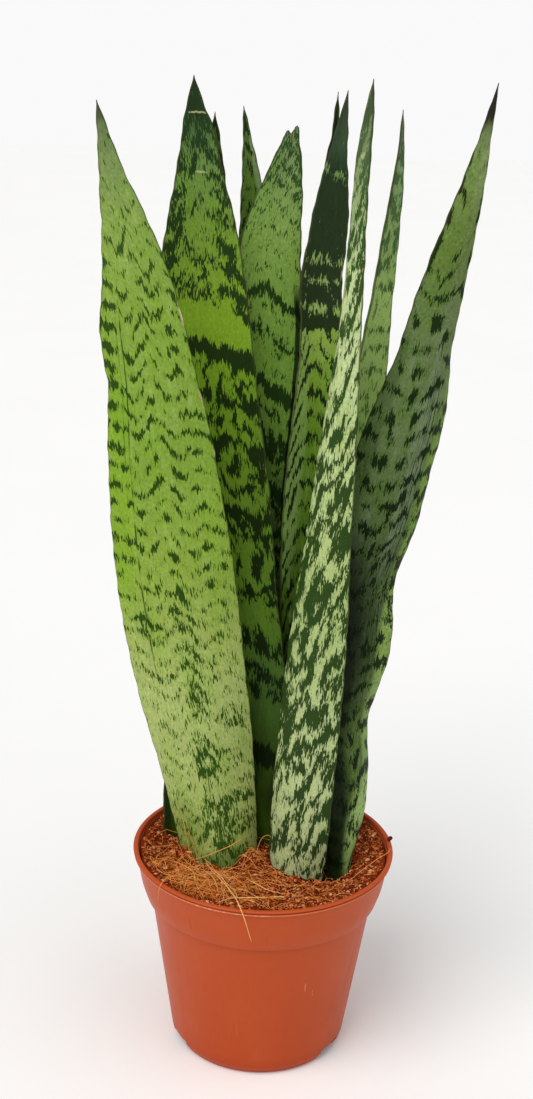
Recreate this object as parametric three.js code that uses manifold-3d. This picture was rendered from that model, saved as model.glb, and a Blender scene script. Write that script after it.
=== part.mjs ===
// Potted ceylon bowstring hemp: ten upright leaves in coir, in a round terracotta-coloured nursery pot.
// Millimetres, +Z up. The origin is the middle of the pot's underside, and -Y is the side that faces the viewer.

import * as THREE from "three";
import { mergeVertices } from "three/addons/utils/BufferGeometryUtils.js";
import Module from "manifold-3d";

const wasm = await Module();
wasm.setup();

// The pot: a 12 cm nursery pot with a tall collar.
const POT_HEIGHT = 96.4;
const RIM_RADIUS = 59.8;
const WALL_TOP_RADIUS = 51.3;
const WALL_FOOT_RADIUS = 41.4;
const WALL_FOOT_HEIGHT = 8;
const FOOT_RADIUS = 38.7;
const WALL = 1.2;
const FLOOR = 1.6;
const POT_SIDES = 48;

// The collar from its foot up to the lip, outside: height, radius. The lip is two ridges with a groove.
const COLLAR_LINE = [[73.5, 53.4], [80.5, 55.8], [93.6, 58.2]];
const COLLAR_FOOT = COLLAR_LINE[0][0];
const LIP_LEVEL = 93.9;
const GROOVE_DEPTH = 0.9;

// Drain openings: round holes in the floor, and three cuts through the corner of the foot.
const DRAIN_HOLES = 8;
const DRAIN_RADIUS = 3.5;
const DRAIN_RING_RADIUS = 27;
const CORNER_CUTS = [57, 177, 297];
const CORNER_CUT_WIDTH = 14;
const CORNER_CUT_HEIGHT = 5.5;
const CORNER_CUT_DEPTH = 4.5;

// The coir: its mean surface, how far it rises to the rim and heaps, and the clearance to what it touches.
const SOIL_LEVEL = 90;
const SOIL_EDGE_RISE = 4;
const SOIL_CLODS = 0.66;
const SOIL_EDGE_RADIUS = 56.6;
const CLEARANCE = 0.3;
const SOIL_RINGS = [8, 14, 20, 26, 32, 38, 44, 50];

// Heaps and dips of the coir round the feet of the leaves: x, y, height, spread.
const SOIL_MOUNDS = [[-22, -30, 1.2, 22], [-37, -5, 4.5, 6], [-5, -7, 3.5, 7], [-17, -14, -3, 6], [31, -14, -4.8, 10]];

// The leaves: where their feet end in the coir, and how thick the blades are.
const FOOT_LEVEL = 76;
const FOOT_THICKNESS = 2.8;
const BLADE_THICKNESS = 1.8;
const MARGIN_THICKNESS = 1;
const TIP_THICKNESS = 0.9;
const TIP_WIDTH = 0.9;
const BLADE_STRIPS = 6;
const BLADE_STEPS = 20;

const ORANGE = "#bc5230";
const COIR = "#7a3f1e";
const RHIZOME = "#c58a4c";

// Each leaf is set out by height above the table.
// path: height, x, y of the middle of the line that joins its margins. width: height, margin to margin.
// facing: height, degrees that the face is turned from the viewer towards +X.
// bulge: height, how far the midrib stands towards the viewer (minus: away) from that line.
// scallops: side (-1 left, 1 right), from, to, how far the margin swells out between these heights.
// fold: side, from, to, share of the half blade that is folded away, how far its margin goes back.
const LEAVES = {
  leaf_front_left: {
    tip: 424,
    path: [[76, -18, 3], [130, -26, 2], [190, -37, 0], [250, -45, -4], [310, -51.7, -9], [370, -61.2, -16],
      [400, -68.6, -20], [424, -73.4, -24]],
    width: [[76, 31], [92, 35], [130, 42], [170, 49], [215, 52], [240, 51], [270, 47], [290, 43.5], [310, 38],
      [350, 29.5], [385, 16], [400, 9], [424, TIP_WIDTH]],
    facing: [[76, 8], [250, 3], [424, 0]],
    bulge: [[76, 14], [150, 8], [250, 5], [350, 3], [424, 0]],
    scallops: [[-1, 312, 352, 2.2]],
    fold: [-1, 170, 350, 0.3, 2],
    colour: "#86a94c",
  },
  leaf_broad_left: {
    tip: 434,
    path: [[76, -22, 12], [130, -20.6, 13], [170, -19.3, 14], [190, -21, 14.5], [210, -24, 15], [250, -28, 16],
      [310, -33.5, 18], [370, -34.6, 20], [434, -39, 22]],
    width: [[76, 50], [130, 53.4], [250, 54], [290, 51], [330, 43], [370, 31], [385, 24.5], [400, 17.5],
      [420, 8.8], [434, TIP_WIDTH]],
    facing: [[76, -4], [434, 0]],
    bulge: [[76, -5], [200, -4], [350, -3], [434, 0]],
    scallops: [[1, 398, 421, 1.2]],
    colour: "#6fa02f",
  },
  leaf_hidden_left: {
    tip: 419,
    path: [[76, -22, 30], [130, -28, 36], [200, -31, 42], [300, -32, 49], [419, -31.5, 56]],
    width: [[76, 16], [150, 22], [300, 22], [370, 16], [400, 8], [419, TIP_WIDTH]],
    facing: [[76, 25], [419, 10]],
    bulge: [[76, -3], [300, -2], [419, 0]],
    colour: "#3f6b2c",
  },
  leaf_back_left: {
    tip: 422,
    path: [[76, -4, 37], [200, -5, 38], [300, -7.5, 41], [370, -12.2, 44], [400, -16, 46], [422, -19, 48]],
    width: [[76, 18], [200, 22], [300, 22], [350, 18], [370, 15], [400, 6], [410, 3.6], [422, TIP_WIDTH]],
    facing: [[76, -5], [422, -15]],
    bulge: [[76, -3], [300, -2], [422, 0]],
    fold: [1, 340, 420, 0.5, 1.2],
    colour: "#3c6a2b",
  },
  leaf_broken_tip: {
    tip: 413.6,
    path: [[76, -9, 26], [200, -11.3, 26], [250, -11.5, 27], [290, -9.6, 28], [330, -6.8, 30], [350, -6.3, 31],
      [370, -5.2, 32], [385, -2.7, 33], [400, 0.2, 34], [413.6, 2.2, 35]],
    width: [[76, 23], [200, 33.5], [290, 37], [330, 33.9], [350, 29.3], [370, 25.7], [385, 20.6], [400, 13.1],
      [410, 7.2], [413.6, 5.4]],
    facing: [[76, 10], [416, 10]],
    bulge: [[76, -4], [300, -3], [416, -0.3]],
    brokenEdge: [-1.6, -0.6, -2.2, -1.4, 0.4, 1.2, 1],
    colour: "#5f9138",
  },
  leaf_dark: {
    tip: 430,
    path: [[76, 16, 20], [170, 16.8, 20], [250, 16.3, 20], [300, 17, 21], [330, 17.2, 21.5], [350, 16.3, 22],
      [370, 18.4, 23], [400, 20.9, 25], [430, 24.4, 27]],
    width: [[76, 23], [170, 25.5], [230, 26.1], [250, 25.7], [280, 23.2], [300, 20.6], [325, 17.7], [350, 17.9],
      [370, 16.6], [385, 14.2], [400, 9.2], [410, 6.3], [430, TIP_WIDTH]],
    facing: [[76, 8], [250, 8], [430, 0]],
    bulge: [[76, -4], [300, -3], [430, 0]],
    colour: "#27491f",
  },
  leaf_behind_dark: {
    tip: 429,
    path: [[76, 20, 33], [200, 19, 39], [300, 18, 44], [400, 20.4, 50], [429, 21.2, 52]],
    width: [[76, 18], [200, 24], [300, 21], [370, 12], [400, 7], [412, 3.2], [429, TIP_WIDTH]],
    facing: [[76, -15], [429, -10]],
    bulge: [[76, -3], [300, -2], [429, 0]],
    colour: "#2c5222",
  },
  leaf_front_narrow: {
    tip: 435,
    path: [[76, 15, -8], [130, 17, -10.5], [190, 20, -13], [250, 23, -16], [310, 26.2, -20], [350, 28, -24],
      [400, 28.9, -29], [435, 31.2, -33]],
    width: [[76, 24], [92, 26.6], [110, 28.4], [170, 28.6], [210, 26.3], [250, 21.6], [310, 14.6], [350, 9],
      [385, 7.7], [410, 6.2], [435, TIP_WIDTH]],
    facing: [[76, -20], [250, -30], [435, -40]],
    bulge: [[76, 7], [200, 5], [350, 1.6], [435, 0]],
    colour: "#8fb070",
  },
  leaf_back_right: {
    tip: 423,
    path: [[76, 35, 20], [200, 36, 21], [290, 37.8, 22], [330, 41.3, 23], [370, 45, 25], [410, 47.7, 28],
      [423, 47.6, 29]],
    width: [[76, 20], [200, 25], [290, 24], [310, 21], [330, 16], [370, 10.4], [400, 4.8], [423, TIP_WIDTH]],
    facing: [[76, 50], [423, 40]],
    bulge: [[76, -3], [300, -2], [423, 0]],
    colour: "#74a04a",
  },
  leaf_front_right: {
    tip: 435,
    path: [[76, 34.2, -4.8], [92, 34.6, -4.5], [112, 35.5, -0.6], [130, 36.3, 3], [160, 34.4, 5.5], [190, 35.5, 6],
      [220, 37.4, 5], [250, 44.5, 2], [290, 52, -3], [310, 56, -6], [350, 62.5, -13], [400, 73, -20],
      [435, 79, -24]],
    width: [[76, 12.5], [92, 13.5], [112, 25.4], [160, 26.5], [190, 33], [250, 38], [290, 38.4], [310, 32.4],
      [330, 24], [350, 20.9], [370, 17], [400, 9], [418, 4.3], [435, TIP_WIDTH]],
    facing: [[76, 35], [92, 36], [112, 40], [130, 42], [170, 27], [250, 21], [350, 17], [435, 15]],
    bulge: [[76, 5], [170, 4], [290, 4], [400, 1], [435, 0]],
    scallops: [[1, 92, 156, 1.5], [1, 156, 218, 4.5], [1, 218, 272, 0.8]],
    fold: [1, 218, 345, 0.34, 2.4],
    colour: "#7f9a5e",
  },
};

// Rhizomes: each is a creeping stem with side arms, and roots that go down from it. Points are x, y, z.
const RHIZOME_SIDES = 8;
const ROOT_SIDES = 5;
const RHIZOMES = {
  rhizome_left: {
    arms: [
      { radius: 7, points: [[-15, -17], [-18, 0], [-20, 16], [-13, 28], [-4.5, 40]] },
      { radius: 5.5, points: [[-19, 17], [-21, 26], [-25, 32]] },
    ],
    roots: [[-15, -12, -24, -20], [-20, 4, -33, 4], [-19, 18, -12, 12], [-12, 30, -14, 22]],
  },
  rhizome_right: {
    arms: [
      { radius: 7, points: [[10, -20], [13, -12], [16, 4], [17, 20], [19, 37]] },
      { radius: 6, points: [[15, 1], [28, 3], [42, -5]] },
      { radius: 6, points: [[17, 19], [25, 21], [33, 21.5]] },
    ],
    roots: [[12, -16, 6, -26], [16, 6, 6, 6], [30, 3, 28, -10], [18, 24, 12, 28]],
  },
};
const ROOT_RADIUS = 1.8;
const ROOT_END_LEVEL = 22;

// A smooth curve through points [height, value, ...], which never overshoots between them.
function through(points, column = 1) {
  const last = points.length - 1;
  const rise = (i) => (points[i + 1][column] - points[i][column]) / (points[i + 1][0] - points[i][0]);
  const slopes = points.map((_, i) => {
    if (i === 0) return rise(0);
    if (i === last) return rise(last - 1);
    const before = rise(i - 1);
    const after = rise(i);
    return before * after <= 0 ? 0 : (2 * before * after) / (before + after);
  });
  return (height) => {
    if (height <= points[0][0]) return points[0][column];
    if (height >= points[last][0]) return points[last][column];
    const i = points.findIndex((point, k) => k < last && height <= points[k + 1][0]);
    const step = points[i + 1][0] - points[i][0];
    const t = (height - points[i][0]) / step;
    const a = points[i][column];
    const b = points[i + 1][column];
    return (
      a * (1 + 2 * t) * (1 - t) ** 2 +
      slopes[i] * step * t * (1 - t) ** 2 +
      b * t * t * (3 - 2 * t) -
      slopes[i + 1] * step * t * t * (1 - t)
    );
  };
}

const swell = (t) => (t <= 0 || t >= 1 ? 0 : Math.sin(Math.PI * t));

// The cross-section of a leaf at a height, as a function of u from -1 (left margin) to 1 (right margin).
// It gives the place along and across the line between the margins.
function leafSection(leaf, height) {
  const half = through(leaf.width)(height) / 2;
  const bulge = through(leaf.bulge)(height);
  return (u) => {
    let along = u * half;
    let across = bulge * (1 - u * u);
    for (const [side, from, to, reach] of leaf.scallops ?? []) {
      if (u * side > 0) along += side * reach * swell((height - from) / (to - from)) * Math.abs(u) ** 3;
    }
    if (leaf.fold) {
      const [side, from, to, share, reach] = leaf.fold;
      const past = Math.max(0, (u * side - (1 - share)) / share);
      across -= reach * swell((height - from) / (to - from)) ** 0.5 * past ** 1.3;
    }
    return [along, across];
  };
}

// A ring of points round the leaf at a height: the viewer's face from left to right, then the far face back.
function leafRing(leaf, height, spare) {
  const section = leafSection(leaf, height);
  const facing = THREE.MathUtils.degToRad(through(leaf.facing)(height));
  const x = through(leaf.path, 1)(height);
  const y = through(leaf.path, 2)(height);
  const rise = (height - FOOT_LEVEL) / (leaf.tip - FOOT_LEVEL);
  const middle = THREE.MathUtils.lerp(FOOT_THICKNESS, BLADE_THICKNESS, Math.min(1, rise * 3));
  const taper = THREE.MathUtils.smoothstep(rise, 0.75, 1);
  const front = [];
  const back = [];
  for (let k = 0; k <= BLADE_STRIPS; k++) {
    const u = (2 * k) / BLADE_STRIPS - 1;
    const [along, across] = section(u);
    const [a0, b0] = section(u - 0.02);
    const [a1, b1] = section(u + 0.02);
    const length = Math.hypot(a1 - a0, b1 - b0);
    const normal = [-(b1 - b0) / length, (a1 - a0) / length];
    const thick = MARGIN_THICKNESS + (middle - MARGIN_THICKNESS) * (1 - u ** 4);
    const offset = THREE.MathUtils.lerp(thick, TIP_THICKNESS, taper) / 2 + spare;
    const outward = Math.abs(u) === 1 ? u * spare : 0;
    for (const [list, side] of [[front, 1], [back, -1]]) {
      const s = along + outward * normal[1] + side * offset * normal[0];
      const t = across - outward * normal[0] + side * offset * normal[1];
      const broken = leaf.brokenEdge && height === leaf.tip ? leaf.brokenEdge[k] : 0;
      list.push([
        x + s * Math.cos(facing) + t * Math.sin(facing),
        y + s * Math.sin(facing) - t * Math.cos(facing),
        height + broken,
      ]);
    }
  }
  return [...front, ...back.reverse()];
}

// A closed solid from rings of points. Rings run from the foot up, and both faces of a blade are split alike.
function solidFromRings(rings) {
  const size = rings[0].length;
  const faces = [];
  const strips = size / 2 - 1;
  for (let r = 0; r + 1 < rings.length; r++) {
    for (let k = 0; k < size; k++) {
      const next = (k + 1) % size;
      const a = r * size + k;
      const b = r * size + next;
      const c = (r + 1) * size + next;
      const d = (r + 1) * size + k;
      const onFarFace = k > strips && k < size - 1;
      if (onFarFace) faces.push([a, b, d], [b, c, d]);
      else faces.push([a, b, c], [a, c, d]);
    }
  }
  const top = (rings.length - 1) * size;
  for (let k = 0; k < strips; k++) {
    const mate = size - 1 - k;
    faces.push([k, mate, mate - 1], [k, mate - 1, k + 1]);
    faces.push([top + k, top + mate - 1, top + mate], [top + k, top + k + 1, top + mate - 1]);
  }
  const geometry = new THREE.BufferGeometry();
  geometry.setAttribute("position", new THREE.Float32BufferAttribute(rings.flat(2), 3));
  geometry.setIndex(faces.flat());
  return geometry;
}

// Heights of a leaf's rings: closer together where the blade tapers to its tip.
function leafHeights(leaf, steps) {
  const heights = [];
  for (let k = 0; k <= steps; k++) {
    const t = k / steps;
    heights.push(FOOT_LEVEL + (leaf.tip - FOOT_LEVEL) * (t + 0.09 * Math.sin(Math.PI * t)));
  }
  heights[steps] = leaf.tip;
  return heights;
}

function leafGeometry(leaf) {
  return solidFromRings(leafHeights(leaf, BLADE_STEPS).map((height) => leafRing(leaf, height, 0)));
}

// The hole that a leaf's foot stands in: the same foot, wider by the clearance all round.
function leafHole(leaf) {
  const heights = [FOOT_LEVEL - CLEARANCE, ...leafHeights(leaf, BLADE_STEPS).slice(0, 2)];
  return solidFromRings(heights.map((height) => leafRing(leaf, height, CLEARANCE)));
}

// Booleans.
function toManifold(geometry) {
  const bare = geometry.clone();
  bare.deleteAttribute("normal");
  bare.deleteAttribute("uv");
  const merged = mergeVertices(bare, 1e-4);
  const vertProperties = new Float32Array(merged.attributes.position.array);
  const triVerts = new Uint32Array(merged.index.array);
  return new wasm.Manifold(new wasm.Mesh({ numProp: 3, vertProperties, triVerts }));
}

function toGeometry(solid) {
  const { vertProperties, triVerts } = solid.getMesh();
  const geometry = new THREE.BufferGeometry();
  geometry.setAttribute("position", new THREE.Float32BufferAttribute(vertProperties, 3));
  geometry.setIndex(Array.from(triVerts));
  return geometry;
}

// The pot's outline at a height, from outside.
function wallRadius(height) {
  const share = (height - WALL_FOOT_HEIGHT) / (COLLAR_FOOT - WALL_FOOT_HEIGHT);
  return THREE.MathUtils.lerp(WALL_FOOT_RADIUS, WALL_TOP_RADIUS, share);
}

function collarRadius(height) {
  const [foot, bend, top] = COLLAR_LINE;
  const [low, high] = height < bend[0] ? [foot, bend] : [bend, top];
  return THREE.MathUtils.mapLinear(height, low[0], high[0], low[1], high[1]);
}

function lathe(profile, sides) {
  const points = profile.map(([radius, height]) => new THREE.Vector2(radius, height));
  return new THREE.LatheGeometry(points, sides).rotateX(Math.PI / 2);
}

function potGeometry() {
  const [, bend, top] = COLLAR_LINE;
  const outside = [
    [0, 0],
    [FOOT_RADIUS - 0.6, 0],
    [FOOT_RADIUS, 0.6],
    [WALL_FOOT_RADIUS - 0.6, 4],
    [WALL_FOOT_RADIUS, WALL_FOOT_HEIGHT],
    [WALL_TOP_RADIUS, COLLAR_FOOT],
    ...COLLAR_LINE.map(([height, radius]) => [radius, height]),
    [RIM_RADIUS - 0.5, LIP_LEVEL],
    [RIM_RADIUS - 0.2, LIP_LEVEL + 0.4],
    [RIM_RADIUS - GROOVE_DEPTH, LIP_LEVEL + 1.1],
    [RIM_RADIUS, LIP_LEVEL + 1.8],
    [RIM_RADIUS, POT_HEIGHT - 0.4],
    [RIM_RADIUS - 0.6, POT_HEIGHT],
  ];
  const inside = [
    [RIM_RADIUS - 1.9, POT_HEIGHT],
    [RIM_RADIUS - 2.3, POT_HEIGHT - 0.5],
    [top[1] - WALL, top[0]],
    [bend[1] - WALL, bend[0]],
    [collarRadius(COLLAR_FOOT + WALL) - WALL, COLLAR_FOOT + WALL],
    [wallRadius(COLLAR_FOOT + WALL) - WALL, COLLAR_FOOT + WALL],
    [WALL_FOOT_RADIUS - WALL, WALL_FOOT_HEIGHT],
    [FOOT_RADIUS - WALL, FLOOR],
    [0, FLOOR],
  ];
  let pot = toManifold(lathe([...outside, ...inside], POT_SIDES));
  for (let k = 0; k < DRAIN_HOLES; k++) {
    const angle = (2 * Math.PI * (k + 0.5)) / DRAIN_HOLES;
    const hole = new THREE.CylinderGeometry(DRAIN_RADIUS, DRAIN_RADIUS, 4 * FLOOR, 12).rotateX(Math.PI / 2);
    hole.translate(DRAIN_RING_RADIUS * Math.cos(angle), DRAIN_RING_RADIUS * Math.sin(angle), FLOOR / 2);
    pot = pot.subtract(toManifold(hole));
  }
  for (const degrees of CORNER_CUTS) {
    const cut = new THREE.BoxGeometry(CORNER_CUT_WIDTH, 2 * CORNER_CUT_DEPTH, 2 * CORNER_CUT_HEIGHT);
    cut.translate(0, -WALL_FOOT_RADIUS, 0).rotateZ(THREE.MathUtils.degToRad(degrees));
    pot = pot.subtract(toManifold(cut));
  }
  return toGeometry(pot);
}

// How far the coir stands above its mean surface: a rise to the rim, heaps and dips, and clods.
function soilBump(x, y) {
  let bump = SOIL_EDGE_RISE * THREE.MathUtils.smoothstep(Math.hypot(x, y), 34, 55);
  for (const [middleX, middleY, height, spread] of SOIL_MOUNDS) {
    bump += height * Math.exp(-((x - middleX) ** 2 + (y - middleY) ** 2) / spread ** 2);
  }
  const clods = Math.sin(0.31 * x + 1.3) * Math.sin(0.37 * y + 0.4) + 0.6 * Math.sin(0.19 * x - 0.43 * y);
  return bump + SOIL_CLODS * clods;
}

function soilBody() {
  const gap = WALL + CLEARANCE;
  const [, bend] = COLLAR_LINE;
  const profile = [
    [0, FLOOR + CLEARANCE],
    [FOOT_RADIUS - gap - 0.2, FLOOR + CLEARANCE],
    [WALL_FOOT_RADIUS - gap, WALL_FOOT_HEIGHT],
    [wallRadius(COLLAR_FOOT + WALL) - gap, COLLAR_FOOT + WALL + CLEARANCE],
    [collarRadius(COLLAR_FOOT + WALL) - gap, COLLAR_FOOT + WALL + CLEARANCE],
    [bend[1] - gap, bend[0]],
    [SOIL_EDGE_RADIUS, SOIL_LEVEL],
    ...SOIL_RINGS.toReversed().map((radius) => [radius, SOIL_LEVEL]),
    [0, SOIL_LEVEL],
  ];
  const body = mergeVertices(stripped(lathe(profile, POT_SIDES)), 1e-4);
  const position = body.attributes.position;
  for (let i = 0; i < position.count; i++) {
    const x = position.getX(i);
    const y = position.getY(i);
    const onTop = Math.abs(position.getZ(i) - SOIL_LEVEL) < 0.01;
    if (onTop) position.setZ(i, SOIL_LEVEL + soilBump(x, y));
  }
  return body;
}

function stripped(geometry) {
  geometry.deleteAttribute("normal");
  geometry.deleteAttribute("uv");
  return geometry;
}

// A round rod along points, with flat ends.
function rod(points, radius, sides, steps) {
  const path = new THREE.CatmullRomCurve3(points.map((point) => new THREE.Vector3(...point)));
  const section = new THREE.Shape();
  for (let k = 0; k < sides; k++) {
    const angle = (2 * Math.PI * k) / sides;
    const corner = [radius * Math.cos(angle), radius * Math.sin(angle)];
    if (k === 0) section.moveTo(...corner);
    else section.lineTo(...corner);
  }
  return new THREE.ExtrudeGeometry(section, { steps, extrudePath: path, bevelEnabled: false });
}

// A rhizome with its arms and roots, fatter by a spare amount where it cuts its own room in the coir.
function rhizomeSolid({ arms, roots }, spare) {
  let body = null;
  const join = (geometry) => {
    const solid = toManifold(geometry);
    body = body ? body.add(solid) : solid;
  };
  for (const { radius, points } of arms) {
    const level = FOOT_LEVEL - CLEARANCE - radius;
    const ends = lengthened(points.map(([x, y]) => [x, y, level]), spare);
    join(rod(ends, radius + spare, RHIZOME_SIDES, 2 * (points.length - 1)));
  }
  for (const [x, y, endX, endY] of roots) {
    const top = FOOT_LEVEL - 10;
    const middle = [(x + 2 * endX) / 3, (y + 2 * endY) / 3, (top + ROOT_END_LEVEL) / 2];
    join(rod([[x, y, top], middle, [endX, endY, ROOT_END_LEVEL - spare]], ROOT_RADIUS + spare, ROOT_SIDES, 3));
  }
  return body;
}

// The same line of points with both ends drawn out by an amount.
function lengthened(points, amount) {
  const moved = points.map((point) => new THREE.Vector3(...point));
  const last = moved.length - 1;
  const out = (end, inner) => end.clone().add(end.clone().sub(inner).setLength(amount || 1e-9));
  const first = out(moved[0], moved[1]);
  const final = out(moved[last], moved[last - 1]);
  return [first, ...moved.slice(1, last), final].map((point) => point.toArray());
}

function soilGeometry() {
  let soil = toManifold(soilBody());
  for (const rhizome of Object.values(RHIZOMES)) soil = soil.subtract(rhizomeSolid(rhizome, CLEARANCE));
  for (const leaf of Object.values(LEAVES)) soil = soil.subtract(toManifold(leafHole(leaf)));
  return toGeometry(soil);
}

const plant = new THREE.Group();

function addPiece(name, geometry, color, roughness) {
  const mesh = new THREE.Mesh(geometry, new THREE.MeshStandardMaterial({ color, roughness, metalness: 0 }));
  mesh.name = name;
  plant.add(mesh);
}

addPiece("pot", potGeometry(), ORANGE, 0.45);
addPiece("coir_soil", soilGeometry(), COIR, 0.95);
for (const [name, rhizome] of Object.entries(RHIZOMES)) {
  addPiece(name, toGeometry(rhizomeSolid(rhizome, 0)), RHIZOME, 0.8);
}
for (const [name, leaf] of Object.entries(LEAVES)) addPiece(name, leafGeometry(leaf), leaf.colour, 0.4);

export default plant;
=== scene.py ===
# %% [markdown]
# # A bowstring hemp in its nursery pot
# Ten stiff upright leaves stand in coir, in a round plastic pot.
# The solids of the plant are already made, packed and named; this lesson dresses them.
# First comes the frame: it brings in those solids, and says where each one is.

# %% Load the packed solids
import math
import random

import bmesh
import bpy
import numpy as np
from mathutils import Matrix, Vector, noise


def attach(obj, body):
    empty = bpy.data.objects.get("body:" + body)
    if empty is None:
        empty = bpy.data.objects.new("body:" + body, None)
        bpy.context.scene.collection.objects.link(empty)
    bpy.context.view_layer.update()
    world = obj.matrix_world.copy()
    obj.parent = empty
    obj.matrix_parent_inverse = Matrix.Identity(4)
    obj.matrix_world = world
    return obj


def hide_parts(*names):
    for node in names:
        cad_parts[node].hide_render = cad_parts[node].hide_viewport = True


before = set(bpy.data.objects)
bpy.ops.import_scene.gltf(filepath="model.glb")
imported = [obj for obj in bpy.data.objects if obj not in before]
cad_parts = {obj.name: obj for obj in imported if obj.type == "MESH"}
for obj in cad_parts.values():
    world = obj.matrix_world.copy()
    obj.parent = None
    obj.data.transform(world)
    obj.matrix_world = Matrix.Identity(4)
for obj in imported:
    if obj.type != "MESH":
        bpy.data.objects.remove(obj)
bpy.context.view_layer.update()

MM = 0.001
print("solids:", ", ".join(sorted(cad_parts)))

# %% [markdown]
# # The camera
# A plant this tall is usually taken from a little above, so that the coir shows inside the rim.
# A camera could be aimed with a constraint, but then its small lean to one side would be lost.
# So its three axes are worked out here: it looks down at PITCH, and leans by ROLL.

# %% Set the camera
PICTURE_WIDTH, PICTURE_HEIGHT = 533, 1099
FOCAL_PIXELS = 1500
SENSOR_MM = 36
PITCH = math.radians(17.7)
ROLL = math.radians(1.9)
DISTANCE = 650 * MM
AIM = Vector((-3, 0, 239)) * MM

backward = Vector((0, -math.cos(PITCH), math.sin(PITCH)))
level_right = Vector((1, 0, 0))
level_up = backward.cross(level_right)
right = level_right * math.cos(ROLL) + level_up * math.sin(ROLL)
up = level_up * math.cos(ROLL) - level_right * math.sin(ROLL)

camera = bpy.data.objects.new("camera", bpy.data.cameras.new("camera"))
bpy.context.scene.collection.objects.link(camera)
bpy.context.scene.camera = camera
camera.data.sensor_width = SENSOR_MM
camera.data.lens = SENSOR_MM * FOCAL_PIXELS / max(PICTURE_WIDTH, PICTURE_HEIGHT)
camera.data.clip_start = 0.01
camera.rotation_mode = "QUATERNION"
camera.rotation_quaternion = Matrix((right, up, backward)).transposed().to_quaternion()
camera.location = AIM + backward * DISTANCE
print("lens in mm:", round(camera.data.lens, 2))

# %% [markdown]
# # Materials as arithmetic
# A leaf's marks are a sum of waves and noises, which would be a large tangle of nodes to link by hand.
# Here a Wire stands for a socket, and adding or multiplying wires adds Math nodes,
# so that a material reads like the formula that it is. A Sheet holds the nodes of one material.

# %% Let sockets stand in sums
class Wire:
    """A socket that can stand in a sum."""

    def __init__(self, sheet, socket):
        self.sheet = sheet
        self.socket = socket

    def __add__(self, other):
        return self.sheet.math("ADD", self, other)

    def __sub__(self, other):
        return self.sheet.math("SUBTRACT", self, other)

    def __rsub__(self, other):
        return self.sheet.math("SUBTRACT", other, self)

    def __mul__(self, other):
        return self.sheet.math("MULTIPLY", self, other)

    def __truediv__(self, other):
        return self.sheet.math("DIVIDE", self, other)

    __radd__ = __add__
    __rmul__ = __mul__


print("a wire understands: + - * /")

# %% Hold the nodes of a material
NOISE_SPREAD = 2.6
NOISE_SHIFT = (17.3, 9.1, 5.7)


class Sheet:
    """A material and its nodes."""

    def __init__(self, name):
        self.material = bpy.data.materials.new(name)
        self.material.use_nodes = True
        self.tree = self.material.node_tree
        self.shader = self.tree.nodes["Principled BSDF"]
        self.noises = 0

    def plug(self, socket, value):
        if isinstance(value, Wire):
            self.tree.links.new(value.socket, socket)
        else:
            socket.default_value = value

    def add(self, kind, **settings):
        node = self.tree.nodes.new("ShaderNode" + kind)
        for setting, value in settings.items():
            setattr(node, setting, value)
        return node

    def math(self, operation, *values):
        node = self.add("Math", operation=operation)
        for socket, value in zip(node.inputs, values):
            self.plug(socket, value)
        return Wire(self, node.outputs[0])

    def vector(self, *values):
        node = self.add("CombineXYZ")
        for socket, value in zip(node.inputs, values):
            self.plug(socket, value)
        return Wire(self, node.outputs[0])

    def split(self, vector):
        node = self.add("SeparateXYZ")
        self.plug(node.inputs[0], vector)
        return [Wire(self, socket) for socket in node.outputs]

    def layout(self, name):
        """The two coordinates of a UV map, here in millimetres or shares."""
        return self.split(Wire(self, self.add("UVMap", uv_map=name).outputs[0]))[:2]

    def attribute(self, name):
        return Wire(self, self.add("Attribute", attribute_name=name).outputs["Fac"])

    def place(self):
        """Where the surface is, in millimetres."""
        node = self.add("VectorMath", operation="SCALE")
        self.plug(node.inputs[0], Wire(self, self.add("TexCoord").outputs["Object"]))
        node.inputs["Scale"].default_value = 1 / MM
        return Wire(self, node.outputs[0])

    def noise(self, where, detail=1.0):
        """Noise from about -1 to 1, another one at each call."""
        self.noises += 1
        shift = self.add("VectorMath", operation="ADD")
        self.plug(shift.inputs[0], where)
        shift.inputs[1].default_value = [share * self.noises for share in NOISE_SHIFT]
        node = self.add("TexNoise")
        self.plug(node.inputs["Vector"], Wire(self, shift.outputs[0]))
        node.inputs["Scale"].default_value = 1.0
        node.inputs["Detail"].default_value = detail
        return Wire(self, node.outputs["Fac"]) * NOISE_SPREAD - NOISE_SPREAD / 2

    def step(self, value, low, high):
        """0 below low, 1 above high, smooth between. It falls instead where low is the larger."""
        node = self.add("MapRange", interpolation_type="SMOOTHSTEP")
        self.plug(node.inputs["Value"], value)
        node.inputs["From Min"].default_value = min(low, high)
        node.inputs["From Max"].default_value = max(low, high)
        node.inputs["To Min"].default_value = 0.0 if low < high else 1.0
        node.inputs["To Max"].default_value = 1.0 if low < high else 0.0
        return Wire(self, node.outputs[0])

    def curve(self, value, points):
        """A smooth curve through a few points (value, result)."""
        low, high = points[0][0], points[-1][0]
        least = min(result for _, result in points)
        span = max(result for _, result in points) - least or 1.0
        spots = [((at - low) / (high - low), (result - least) / span) for at, result in points]
        node = self.add("FloatCurve")
        self.plug(node.inputs["Value"], (value - low) / (high - low))
        bends = node.mapping.curves[0].points
        bends[0].location = spots[0]
        bends[1].location = spots[-1]
        for spot in spots[1:-1]:
            bends.new(*spot)
        for bend in bends:
            bend.handle_type = "AUTO_CLAMPED"
        node.mapping.update()
        return Wire(self, node.outputs[0]) * span + least


print("a sheet can make:", ", ".join(tool for tool in vars(Sheet) if not tool.startswith("_")))

# %% [markdown]
# # Colours
# At the end of a sum stands a colour. A ramp turns a value into one, and a share mixes two.
# A shader takes colours as amounts of light, but those are hard to read off a leaf or a chart.
# So colours are written here as codes, the way a screen gives them, and turned into light on the way.

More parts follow.
